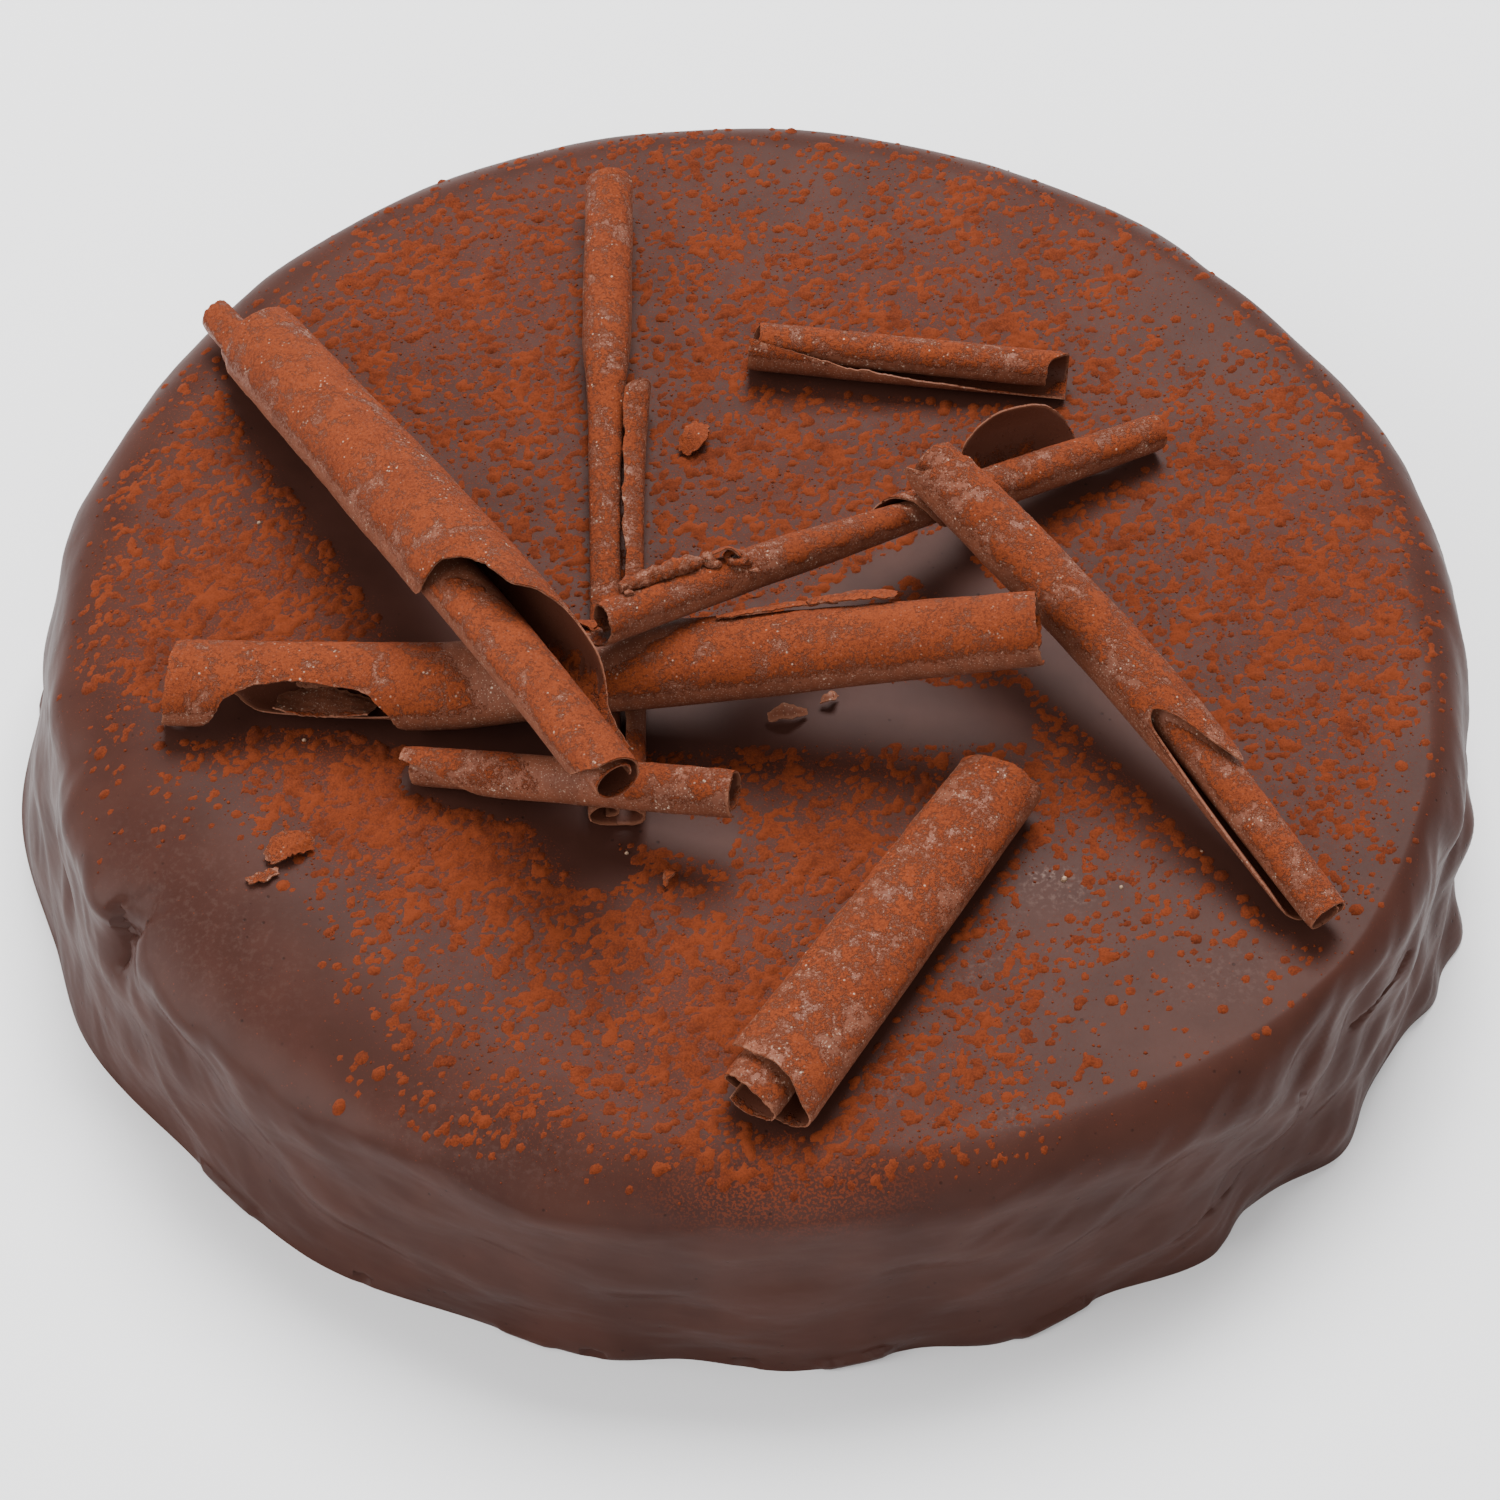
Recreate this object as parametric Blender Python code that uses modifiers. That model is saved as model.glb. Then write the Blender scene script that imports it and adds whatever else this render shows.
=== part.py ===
"""A chocolate-glazed round cake topped with eight rolled chocolate curls.

Units: metres, +Z up.  The origin is the middle of the cake's flat base, +X is
the cake's right and -Y its front.  The cake was baked in a 24 cm tin and
glazed, so its rim is softly rounded, its side leans outwards towards a wavy
foot, and its top is flat.  The curls are thin sheets shaved off a block that
rolled up as they were cut: every one is a sheet with four torn edges.
"""
import bpy
import bmesh
import numpy as np
from math import pi, radians

MM = 0.001

# Driving dimensions of the cake, in metres
TOP = 42 * MM                  # height of the flat top
TOUCH = 0.35 * MM              # air left between layers and pieces that touch
SEGMENTS = 104                 # steps round the cake
SIDE_RINGS = 9                 # rings on the sloping side
RIM_RINGS = 7                  # rings over the rounded rim
RIM_DROP = 11 * MM             # height of the rim's rounding
SHEET = 0.7 * MM               # thickness of the shaved chocolate
CROWD = 1.5                    # how much closer the rows of a curl lie at a tear

# Radius in mm by angle in degrees: where the flat top ends, where the side
# starts under the rounded rim, and the foot on the table
TOP_EDGE = ((0, 107), (60, 106), (120, 108), (180, 104), (197, 99), (215, 91), (233, 87),
            (246, 93), (258, 101), (277, 105), (300, 110), (322, 115), (340, 113))
WALL_EDGE = ((0, 118), (16, 118.4), (36, 116.5), (60, 117), (96, 119), (126, 120), (150, 118.8),
             (180, 118.4), (210, 118.6), (240, 117.8), (270, 117.5), (300, 119), (322, 120.4),
             (340, 119.4))
FOOT_EDGE = ((0, 122.5), (25, 121), (50, 122.2), (75, 121), (100, 122.4), (130, 122), (155, 123.5),
             (182, 125.2), (198, 123.6), (207, 125.2), (222, 122), (234, 122.8), (249, 119.8),
             (258, 120.8), (265, 118.8), (273, 120.6), (282, 119), (289, 121.6), (297, 120), (306, 123.2),
             (311, 120), (330, 120.8), (342, 122.6), (350, 120.8))

# Where glaze ran down and set: angle, half width (degrees), reach, height (mm)
FOOT_LOBES = ((320, 4.2, 4.0, 10), (336, 2.2, 1.6, 6), (342.5, 2.4, 1.6, 9),
              (187, 9, 1.6, 16), (62, 5, 1.8, 8), (128, 4, 1.5, 7), (20, 3.5, 1.4, 6))
# Dents and torn places on the rim and side: angle, height (mm), half width
# (degrees), half height (mm), depth (mm, negative stands out)
DENTS = ((194.8, 38, 2.6, 4, 2.6), (207, 33, 3.0, 5, -1.7), (211, 31, 2.2, 6, 2.4),
         (322, 30, 3.0, 8, 1.5), (330, 22, 3.2, 9, -1.3), (312, 24, 3.0, 8, -1.2),
         (345, 24, 3.2, 10, -1.2), (338, 30, 2.4, 9, 1.4), (36, 34, 5, 6, 1.2))


def through(points, x):
    """Smooth curve through (x, y) points that never overshoots them."""
    px, py = np.array(points, dtype=float).T
    step = np.diff(px)
    rise = np.diff(py) / step
    slope = np.zeros_like(px)
    same = rise[:-1] * rise[1:] > 0
    mean = 2 * rise[:-1] * rise[1:] / np.where(same, rise[:-1] + rise[1:], 1)
    slope[1:-1] = np.where(same, mean, 0)
    slope[0], slope[-1] = rise[0], rise[-1]
    x = np.clip(x, px[0], px[-1])
    k = np.clip(np.searchsorted(px, x) - 1, 0, len(step) - 1)
    t = (x - px[k]) / step[k]
    return (py[k] * (1 + 2 * t) * (1 - t) ** 2 + slope[k] * step[k] * t * (1 - t) ** 2
            + py[k + 1] * t * t * (3 - 2 * t) + slope[k + 1] * step[k] * t * t * (t - 1))


def around(points, degrees):
    """The same smooth curve for values given round a full circle."""
    last, first = points[-1], points[0]
    closed = ((last[0] - 360, last[1]), *points, (first[0] + 360, first[1]))
    return through(closed, degrees % 360)


def bump(distance):
    """A round hump: 1 in the middle, 0 at a distance of 2 and beyond."""
    return np.exp(-distance ** 2)


def turned_from(degrees, centre):
    """Signed angle from a centre direction, in degrees."""
    return (degrees - centre + 180) % 360 - 180


def cake_radius(degrees, height):
    """Radius of the glazed side at an angle and a height below the rim, in metres."""
    part_up = np.clip(height / (TOP - RIM_DROP), 0, 1)
    wall = around(WALL_EDGE, degrees)
    foot = around(FOOT_EDGE, degrees)
    radius = foot + (wall - foot) * part_up ** 0.8
    for centre, half, reach, high in FOOT_LOBES:
        away = turned_from(degrees, centre) / half
        radius = radius + reach * bump(away) * bump(height / MM / high)
    for centre, middle, half, half_high, depth in DENTS:
        away = turned_from(degrees, centre) / half
        radius = radius - depth * bump(away) * bump((height / MM - middle) / half_high)
    waves = (0.45 * np.sin(radians(1) * degrees * 13 + height / MM * 0.21)
             + 0.40 * np.sin(radians(1) * degrees * 21 - height / MM * 0.33 + 1.3)
             + 0.30 * np.sin(radians(1) * degrees * 8 + height / MM * 0.55 + 4.0))
    return (radius + waves * np.sin(pi * np.clip(height / TOP, 0, 1)) ** 0.5) * MM


def cake_point(degrees, ring):
    """Point of the cake's skin: ring 0 is the foot, 1 the wall's top, 2 the end of the rim."""
    on_wall = np.clip(ring, 0, 1)
    on_rim = np.clip(ring - 1, 0, 1) * pi / 2
    height = on_wall * (TOP - RIM_DROP) + RIM_DROP * np.sin(on_rim)
    wall = cake_radius(degrees, height)
    flat = around(TOP_EDGE, degrees) * MM
    radius = flat + (wall - flat) * np.cos(on_rim)
    return radius, height


# Each curl is a sheet rolled about a line.  Every number pair or triple is read
# along the curl (0 to 1 from its start to its end) or along the roll (in turns
# inwards from the sheet's outer edge):
#   line    points of the roll's middle line: x, y, height above the cake's top (mm)
#   rolled  turns, radius (mm), side towards which the roll tightens (degrees)
#   hand    which way the roll closes, seen along the line
#   seam    direction of turn 0: 0 is the line's side, 90 is up (degrees)
#   outer   torn outer edge: place along the curl, turns
#   inner   inner edge: place along the curl, turns
#   start   torn end where the line starts: turns, place along the curl
#   end     torn end where the line ends: turns, place along the curl
#   size    scale of the radii along the curl
#   squash  height of the roll against its width, along the curl
#   slide   flat stretch under the roll: its turn, and its length along the curl (mm)
#   rows, columns   faces along the curl and round the roll
CURLS = {
    "curl_across_left": dict(
        line=((-92.7, 64.3, 4.9), (-39.8, -21.15, 23.3), (-19.9, -54.7, 27.8)),
        rolled=((0, 8.6, 0), (0.9, 7.6, 318), (1.3, 4.4, 318), (2.0, 3.5, 318),
                (2.3, 2.4, 150), (2.7, 1.9, 150)),
        hand=1, seam=-15,
        outer=((0, 0.02), (0.589, 0.0), (0.623, 0.04), (0.648, 0.2), (0.697, 0.28), (0.75, 0.31),
               (0.775, 0.37), (0.824, 0.47), (0.863, 0.51), (0.892, 0.58), (0.931, 0.66), (1, 0.68)),
        inner=((0, 2.6), (1, 2.6)),
        start=((0, 0.125), (0.5, 0.104), (0.95, 0.092), (1.6, 0.084), (2.0, 0.01), (2.7, 0.0)),
        end=((0.5, 0.94), (0.85, 0.94), (1.0, 0.965), (1.2, 1.0), (2.7, 1.0)),
        size=((0, 0.87), (0.35, 0.95), (0.7, 1.02), (1, 1.0)), squash=((0, 0.97), (1, 0.97)),
        rows=13, columns=34),
    "curl_wide_cross": dict(
        line=((-95.8, -19.9, 5.3), (-52.6, -21.5, 6.5), (-25.1, -21.9, 11.7), (-1.9, -21.4, 14.1),
              (16.5, -21.5, 17.1), (44.9, -22.0, 22.0)),
        rolled=((0, 8.1, 0), (0.9, 7.4, 250), (1.4, 5.6, 250)),
        hand=1, seam=-62,
        outer=((0, 0.02), (0.038, 0.05), (0.072, 0.27), (0.112, 0.325), (0.158, 0.34),
               (0.214, 0.315), (0.25, 0.24), (0.272, 0.10), (0.288, 0.0), (1, 0.0)),
        inner=((0, 0.84), (0.05, 0.88), (0.09, 1.0), (0.14, 1.04), (0.22, 1.10), (0.3, 1.14), (1, 1.3)),
        start=((0, 0.0), (0.4, 0.01), (1.3, 0.03)), end=((0, 1.0), (1.3, 0.995)),
        size=((0, 1.0), (0.5, 1.0), (0.8, 0.86), (1, 0.76)), squash=((0, 0.72), (0.5, 0.76), (1, 0.97)),
        rows=14, columns=20),
    "curl_slanting_slim": dict(
        line=((-26.0, -24.4, 24.9), (0.2, -7.0, 19.5), (19.5, 5.9, 13.9), (49.7, 25.1, 7.0),
              (67.7, 35.6, 3.9)),
        rolled=((-0.5, 11.5, 0), (-0.25, 8.0, 268), (-0.05, 4.6, 268), (0.0, 4.2, 268),
                (0.5, 3.9, 200), (1.0, 3.2, 200), (2.1, 1.68, 200)),
        hand=1, seam=270,
        outer=((0, 0.93), (0.44, 0.92), (0.50, 0.78), (0.54, 0.52), (0.575, 0.28), (0.61, 0.1),
               (0.66, -0.05),
               (0.69, -0.27), (0.74, -0.37), (0.80, -0.35), (0.86, -0.27), (0.90, -0.08),
               (0.94, 0.0), (1, 0.0)),
        inner=((0, 2.06), (0.46, 2.04), (0.6, 1.6), (1, 1.45)),
        start=((-0.4, 0.0), (0.95, 0.0), (1.3, 0.012), (2.1, 0.02)),
        end=((-0.4, 1.0), (1.6, 1.0)),
        size=((0, 1.40), (0.3, 1.36), (0.5, 1.08), (0.6, 0.94), (0.85, 0.84), (1, 0.76)),
        squash=((0, 1.0), (1, 1.0)),
        rows=15, columns=20),
    "curl_right_long": dict(
        line=((27.6, 14.3, 21.2), (62.6, -29.0, 12.9), (88.4, -66.0, 4.3)),
        rolled=((0, 5.5, 0), (0.85, 4.8, 200), (1.2, 3.6, 200), (2.2, 2.5, 200)),
        hand=-1, seam=150,
        outer=((0, 0.06), (0.2, 0.02), (0.4, 0.0), (1, 0.0)),
        inner=((0, 2.0), (1, 2.0)),
        start=((0, 0.07), (0.1, 0.055), (0.22, 0.05), (0.31, 0.03), (0.38, 0.0), (0.44, 0.02),
               (0.7, 0.03), (1.0, 0.01), (2.0, 0.0)),
        end=((0, 0.70), (0.05, 0.73), (0.13, 0.69), (0.2, 0.62), (0.27, 0.585), (0.33, 0.60),
             (0.37, 0.68), (0.41, 0.82), (0.45, 0.94), (0.6, 0.97), (0.9, 1.0), (2.0, 1.0)),
        size=((0, 1.0), (0.5, 1.0), (1, 0.88)), squash=((0, 1.0), (1, 1.0)),
        rows=11, columns=28),
    "curl_front_flat": dict(
        line=((39.6, -39.4, 5.25), (0.0, -102.0, 5.05)),
        rolled=((0, 9.2, 0), (0.9, 8.4, 335), (1.3, 4.8, 335), (2.0, 3.5, 335)),
        hand=1, seam=22,
        outer=((0, 0.0), (1, 0.0)), inner=((0, 1.9), (1, 1.9)),
        start=((0, 0.02), (0.3, 0.0), (1.9, 0.01)),
        end=((0, 0.91), (0.2, 0.925), (0.35, 0.965), (0.6, 0.97), (0.8, 0.96), (1.2, 0.99), (1.9, 1.0)),
        size=((0, 0.80), (1, 1.0)), squash=((0, 0.66), (1, 0.57)),
        rows=8, columns=28),
    "curl_small_low": dict(
        line=((-56.4, -35.8, 3.0), (-43.9, -38.5, 5.2), (-21.4, -44.1, 9.7), (-3.3, -48.5, 13.1)),
        rolled=((0, 3.8, 0), (0.95, 3.1, 200), (1.3, 2.4, 200), (1.6, 2.0, 200)),
        hand=1, seam=-45,
        outer=((0, 0.33), (0.1, 0.25), (0.2, 0.1), (0.27, 0.0), (1, 0.0)),
        inner=((0, 1.5), (1, 1.5)),
        start=((0, 0.02), (0.4, 0.0), (0.9, 0.03), (1.5, 0.03)), end=((0, 1.0), (1.5, 0.99)),
        size=((0, 0.95), (1, 1.03)), squash=((0, 1.0), (1, 1.0)),
        rows=8, columns=20),
    "curl_back_small": dict(
        line=((-1.4, 54.6, 4.65), (53.0, 47.6, 4.65)),
        rolled=((0, 4.4, 0), (0.65, 4.1, 150), (0.95, 3.0, 150), (2.0, 1.9, 150)),
        hand=-1, seam=62,
        outer=((0, 0.0), (0.3, 0.12), (0.6, 0.2), (0.9, 0.27), (1, 0.28)),
        inner=((0, 1.85), (1, 1.85)),
        start=((0, 0.01), (0.4, 0.0), (0.9, 0.03), (1.85, 0.04)),
        end=((0.2, 1.0), (0.75, 1.0), (1.0, 0.94), (1.85, 0.93)),
        size=((0, 1.0), (1, 1.0)), squash=((0, 1.0), (1, 1.0)),
        rows=7, columns=24),
    "curl_back_slim": dict(
        line=((-25.6, 92.0, 5.9), (-25.2, 50.4, 5.7), (-25.2, 30.4, 3.7), (-24.6, -0.8, 2.9),
              (-23.8, -46.3, 2.9)),
        rolled=((0, 3.7, 0), (0.5, 3.5, 0), (1.0, 3.0, 0), (1.6, 2.2, 340)),
        hand=1, seam=92,
        outer=((0, 0.62), (0.31, 0.6), (0.335, 0.4), (0.35, 0.1), (0.365, 0.0), (1, 0.02)),
        inner=((0, 1.55), (1, 1.5)),
        start=((0, 0.0), (1.6, 0.0)), end=((0, 1.0), (1.6, 0.985)),
        size=((0, 1.72), (0.26, 1.72), (0.36, 1.28), (0.48, 1.08), (0.6, 1.0), (1, 1.0)),
        squash=((0, 0.98), (0.28, 0.98), (0.4, 0.76), (1, 0.74)),
        slide=(0.5, ((0, 2.2), (1, 2.8))),
        rows=13, columns=18),
}

# Thin flakes stuck to the top: x, y (mm), length, width, turn (degrees)
FLAKES = ((-73.9, -50.1, 8.0, 3.6, 20), (-71.0, -47.0, 5.0, 4.0, -35), (-10.6, 36.4, 7.0, 4.4, 65),
          (5.0, -23.0, 7.4, 2.6, 12), (11.6, -20.0, 3.6, 2.2, 40), (-13.6, -56.0, 3.4, 2.0, 80))
FLAKE_RISE = 1.1 * MM

COLOURS = {
    "glaze": ((0.072, 0.034, 0.026), 0.34),
    "shaved": ((0.165, 0.060, 0.034), 0.62),
}


def material(name):
    """A Principled material of one of the chocolate colours."""
    colour, roughness = COLOURS[name]
    found = bpy.data.materials.get(name) or bpy.data.materials.new(name)
    found.use_nodes = True
    shader = found.node_tree.nodes["Principled BSDF"]
    shader.inputs["Base Color"].default_value = (*colour, 1)
    shader.inputs["Roughness"].default_value = roughness
    return found


def collection(name):
    """A collection of the scene, made on first use."""
    found = bpy.data.collections.get(name)
    if found is None:
        found = bpy.data.collections.new(name)
        bpy.context.scene.collection.children.link(found)
    return found


def place(obj, group, colour):
    """Put an object in one collection and give it its material."""
    for old in list(obj.users_collection):
        old.objects.unlink(obj)
    collection(group).objects.link(obj)
    obj.data.materials.clear()
    obj.data.materials.append(material(colour))


def evaluated_mesh(obj):
    """The mesh that an object's modifiers make, as a new mesh."""
    graph = bpy.context.evaluated_depsgraph_get()
    return bpy.data.meshes.new_from_object(obj.evaluated_get(graph))


def turned_blank():
    """Ring-by-ring blank of the cake: a profile turned by the Screw modifier.

    The profile runs down from the top's middle and back to the base's middle.
    Its x is a ring number, which cake_point later turns into a radius.
    """
    over = [2 - k / RIM_RINGS for k in range(RIM_RINGS)]
    down = [1 - k / SIDE_RINGS for k in range(SIDE_RINGS + 1)]
    rings = [(4, 0), (3.4, 0.5), (2.7, 0.85), *((ring, 1) for ring in over + down), (-1, 0)]
    mesh = bpy.data.meshes.new("cake_profile")
    points = [(width, 0, number) for number, width in rings]
    mesh.from_pydata(points, [(k, k + 1) for k in range(len(points) - 1)], [])
    blank = bpy.data.objects.new("cake_blank", mesh)
    collection("cutters").objects.link(blank)
    screw = blank.modifiers.new("turn", "SCREW")
    screw.steps = screw.render_steps = SEGMENTS
    screw.use_merge_vertices = True
    screw.merge_threshold = 0.0001
    return blank


def cake_body():
    """The turned blank, pushed out to the cake's own uneven form."""
    blank = turned_blank()
    mesh = evaluated_mesh(blank)
    bpy.data.objects.remove(blank)
    points = np.empty(len(mesh.vertices) * 3)
    mesh.vertices.foreach_get("co", points)
    points = points.reshape(-1, 3)
    width = np.hypot(points[:, 0], points[:, 1])
    degrees = np.degrees(np.arctan2(points[:, 1], points[:, 0])) % 360
    number = points[:, 2]
    radius, height = cake_point(degrees, number)
    base_middle = number < -0.5
    radius = np.where(number > 2, radius * width, radius)
    radius = np.where(base_middle, 0, radius)
    height = np.where(base_middle, 0, height)
    turn = np.radians(degrees)
    moved = np.stack([radius * np.cos(turn), radius * np.sin(turn), height], axis=1)
    mesh.vertices.foreach_set("co", moved.ravel())
    mesh.update()
    cake = bpy.data.objects.new("cake", mesh)
    place(cake, "chocolate_cake", "glaze")
    return cake


def flake(x, y, length, width, turn):
    """A thin flake, half sunk in the glaze: a flattened ball with few faces."""
    bpy.ops.mesh.primitive_uv_sphere_add(segments=8, ring_count=5, radius=1)
    obj = bpy.context.active_object
    obj.name = "flake"
    bent = np.array([v.co[:] for v in obj.data.vertices])
    bent *= (length / 2 * MM, width / 2 * MM, FLAKE_RISE)
    spin = radians(turn)
    across = bent[:, 0] * np.cos(spin) - bent[:, 1] * np.sin(spin)
    along = bent[:, 0] * np.sin(spin) + bent[:, 1] * np.cos(spin)
    moved = np.stack([across + x * MM, along + y * MM, bent[:, 2] + TOP], axis=1)
    obj.data.vertices.foreach_set("co", moved.ravel())
    obj.data.update()
    place(obj, "flakes", "shaved")
    return obj


def middle_line(line, place_along):
    """Point, side direction and up direction of a curl's middle line."""
    knots = np.array(line, dtype=float)
    reach = np.concatenate([[0], np.cumsum(np.linalg.norm(np.diff(knots, axis=0), axis=1))])
    reach /= reach[-1]

    def at(s):
        return np.stack([through(np.stack([reach, knots[:, k]], axis=1), s) for k in range(3)],
                        axis=-1)

    small = 0.01
    ahead, behind = np.clip(place_along + small, 0, 1), np.clip(place_along - small, 0, 1)
    tangent = at(ahead) - at(behind)
    tangent /= np.linalg.norm(tangent, axis=-1, keepdims=True)
    side = np.cross(tangent, (0, 0, 1))
    side /= np.linalg.norm(side, axis=-1, keepdims=True)
    return at(place_along), side, np.cross(side, tangent)


def rolled_sheet(curl, along, inward):
    """Points of a rolled sheet, from two numbers that run 0 to 1 over the flat sheet.

    Each turn inwards is a circle inside the one before.  As its radius shrinks
    its middle moves towards the side where the layers lie on each other, and
    every turn leaves room there for the sheet's thickness and some air.
    """
    first, last = through(curl["outer"], along), through(curl["inner"], along)
    turns = last * inward + first * (1 - inward) ** 2
    begin, finish = through(curl["start"], turns), through(curl["end"], turns)
    s = begin + (finish - begin) * along

    keys = np.array(curl["rolled"])
    fine = np.linspace(keys[0, 0], keys[-1, 0], 600)
    narrowest = min(v for _, v in curl["size"]) * min(v for _, v in curl["squash"])
    layer = (SHEET + TOUCH) / MM / narrowest
    open_radius = np.minimum.accumulate(through(keys[:, :2], fine) + layer * fine)
    radius = open_radius - layer * fine
    lie = np.radians(keys[np.searchsorted(keys[:, 0], fine), 2])
    moved = -np.diff(open_radius, prepend=open_radius[0])
    shift_side, shift_up = np.cumsum(moved * np.cos(lie)), np.cumsum(moved * np.sin(lie))
    at_edge = np.searchsorted(fine, 0.0)
    shift_side = shift_side - shift_side[at_edge]
    shift_up = shift_up - shift_up[at_edge]

    angle = radians(curl["seam"]) + curl["hand"] * 2 * pi * turns
    size = through(curl["size"], s)
    r = np.interp(turns, fine, radius)
    sideways = size * (np.interp(turns, fine, shift_side) + r * np.cos(angle))
    upwards = size * (np.interp(turns, fine, shift_up) + r * np.sin(angle))
    if "slide" in curl:
        at_turn, length = curl["slide"]
        outside = 1 - np.clip((turns - at_turn) / 0.08 + 0.5, 0, 1)
        sideways = sideways - through(length, s) * outside
    upwards = upwards * through(curl["squash"], s)
    middle, side, up = middle_line(curl["line"], s)
    point = middle + side * sideways[..., None] + up * upwards[..., None]
    return point * MM + np.array([0, 0, TOP])


def crowded(curl, along):
    """Row places 0 to 1, moved closer together where the outer edge is torn across."""
    fine = np.linspace(0, 1, 400)
    torn = np.abs(np.gradient(through(curl["outer"], fine), fine))
    reach = np.concatenate([[0], np.cumsum(1 + CROWD * (torn[1:] + torn[:-1]) / 2)])
    return np.interp(along, reach / reach[-1], fine)


def curl_body(name, curl):
    """One curl: a flat grid rolled up, then given the sheet's thickness."""
    mesh = bpy.data.meshes.new(name)
    grid = bmesh.new()
    bmesh.ops.create_grid(grid, x_segments=curl["rows"], y_segments=curl["columns"], size=0.5)
    flat = np.array([v.co[:2] for v in grid.verts]) + 0.5
    rolled = rolled_sheet(curl, crowded(curl, flat[:, 0]), flat[:, 1])
    for vertex, point in zip(grid.verts, rolled):
        vertex.co = point
    grid.to_mesh(mesh)
    grid.free()
    obj = bpy.data.objects.new(name, mesh)
    place(obj, "chocolate_cake", "shaved")
    skin = obj.modifiers.new("thickness", "SOLIDIFY")
    skin.thickness = SHEET
    skin.offset = 0
    return obj


def main():
    for obj in list(bpy.data.objects):
        bpy.data.objects.remove(obj)

    cake = cake_body()
    flakes = [flake(*values) for values in FLAKES]
    join = cake.modifiers.new("flakes", "BOOLEAN")
    join.operation = "UNION"
    join.solver = "EXACT"
    join.operand_type = "COLLECTION"
    join.collection = collection("flakes")
    cake.data = evaluated_mesh(cake)
    cake.modifiers.clear()
    for obj in flakes:
        bpy.data.objects.remove(obj)
    for group in ("flakes", "cutters"):
        bpy.data.collections.remove(collection(group))

    curls = [curl_body(name, curl) for name, curl in CURLS.items()]
    for obj in [cake, *curls]:
        obj.data.shade_smooth()
        obj.data.set_sharp_from_angle(angle=radians(40))


main()
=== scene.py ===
# %% [markdown]
# # A glazed chocolate cake with rolled chocolate curls
#
# The cake is a round torte, coated with chocolate glaze and dusted with cocoa.
# Eight thin sheets of chocolate, shaved off a block, have rolled up and lie
# across the top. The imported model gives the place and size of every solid.
# This script makes each of them again as a finer surface, adds the cocoa, and
# gives all of them their finishes. Lengths in tables are millimetres.

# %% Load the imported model
from math import cos, pi, radians, sin

import bpy
import numpy as np
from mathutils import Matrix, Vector
from mathutils.bvhtree import BVHTree


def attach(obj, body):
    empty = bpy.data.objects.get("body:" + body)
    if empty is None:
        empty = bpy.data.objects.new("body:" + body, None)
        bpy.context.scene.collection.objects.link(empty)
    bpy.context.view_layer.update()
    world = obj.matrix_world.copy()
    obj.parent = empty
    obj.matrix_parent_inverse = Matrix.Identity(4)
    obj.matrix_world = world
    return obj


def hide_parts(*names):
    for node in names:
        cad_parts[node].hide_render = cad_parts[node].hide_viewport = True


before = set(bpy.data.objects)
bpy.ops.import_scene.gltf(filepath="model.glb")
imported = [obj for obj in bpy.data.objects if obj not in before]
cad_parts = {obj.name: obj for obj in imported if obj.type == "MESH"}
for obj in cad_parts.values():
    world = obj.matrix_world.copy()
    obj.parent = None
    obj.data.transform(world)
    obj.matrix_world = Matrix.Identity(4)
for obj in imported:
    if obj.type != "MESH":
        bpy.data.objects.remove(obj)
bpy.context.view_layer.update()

MM = 0.001
print("solids:", ", ".join(sorted(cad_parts)))

# %% [markdown]
# ## The camera
#
# The photograph looks down on the cake from the front, at about fifty degrees,
# through a long lens. The camera is made first, so that every later step can
# be compared with the photograph.

# %% Camera
EYE = Vector((0, -0.47280, 0.61539))
AIM = Vector((-0.00108, -0.00846, 0.01427))
camera_data = bpy.data.cameras.new("photo_camera")
camera_data.sensor_width = 36
camera_data.lens = 107.88
camera_data.clip_start = 0.01
camera = bpy.data.objects.new("photo_camera", camera_data)
camera.location = EYE
camera.rotation_euler = (AIM - EYE).to_track_quat("-Z", "Y").to_euler()
bpy.context.scene.collection.objects.link(camera)
bpy.context.scene.camera = camera
print("camera is", round((AIM - EYE).length, 3), "m from the cake")

# %% [markdown]
# ## Curves through a few known values
#
# An uneven handmade thing is easiest to describe by a few measured values with
# a smooth curve through them: the radius of the foot by angle, the scale of a
# curl along its length. The curve used here is a monotone cubic, which never
# swings past the values it joins, as a spline would.

# %% Curves through points
TINY = 1e-9


def through(points, x):
    """Smooth curve through (x, y) points that never overshoots them."""
    px, py = np.array(points, dtype=float).T
    step = np.diff(px)
    rise = np.diff(py) / step
    slope = np.zeros_like(px)
    same = rise[:-1] * rise[1:] > 0
    mean = 2 * rise[:-1] * rise[1:] / np.where(same, rise[:-1] + rise[1:], 1)
    slope[1:-1] = np.where(same, mean, 0)
    slope[0], slope[-1] = rise[0], rise[-1]
    x = np.clip(x, px[0], px[-1])
    k = np.clip(np.searchsorted(px, x) - 1, 0, len(step) - 1)
    t = (x - px[k]) / step[k]
    return (py[k] * (1 + 2 * t) * (1 - t) ** 2 + slope[k] * step[k] * t * (1 - t) ** 2
            + py[k + 1] * t * t * (3 - 2 * t) + slope[k + 1] * step[k] * t * t * (t - 1))


def around(points, degrees):
    """The same smooth curve for values given round a full circle."""
    last, first = points[-1], points[0]
    closed = ((last[0] - 360, last[1]), *points, (first[0] + 360, first[1]))
    return through(closed, degrees % 360)


def bump(distance):
    """A round hump: 1 in the middle, near 0 at a distance of 2 and beyond."""
    return np.exp(-distance ** 2)


def eased(value, low, high):
    """0 below low, 1 above high, and an S-shaped step between them."""
    part = np.clip((value - low) / (high - low), 0, 1)
    return part * part * (3 - 2 * part)


def turned_from(degrees, centre):
    """Signed angle from a centre direction, in degrees."""
    return (degrees - centre + 180) % 360 - 180


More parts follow.
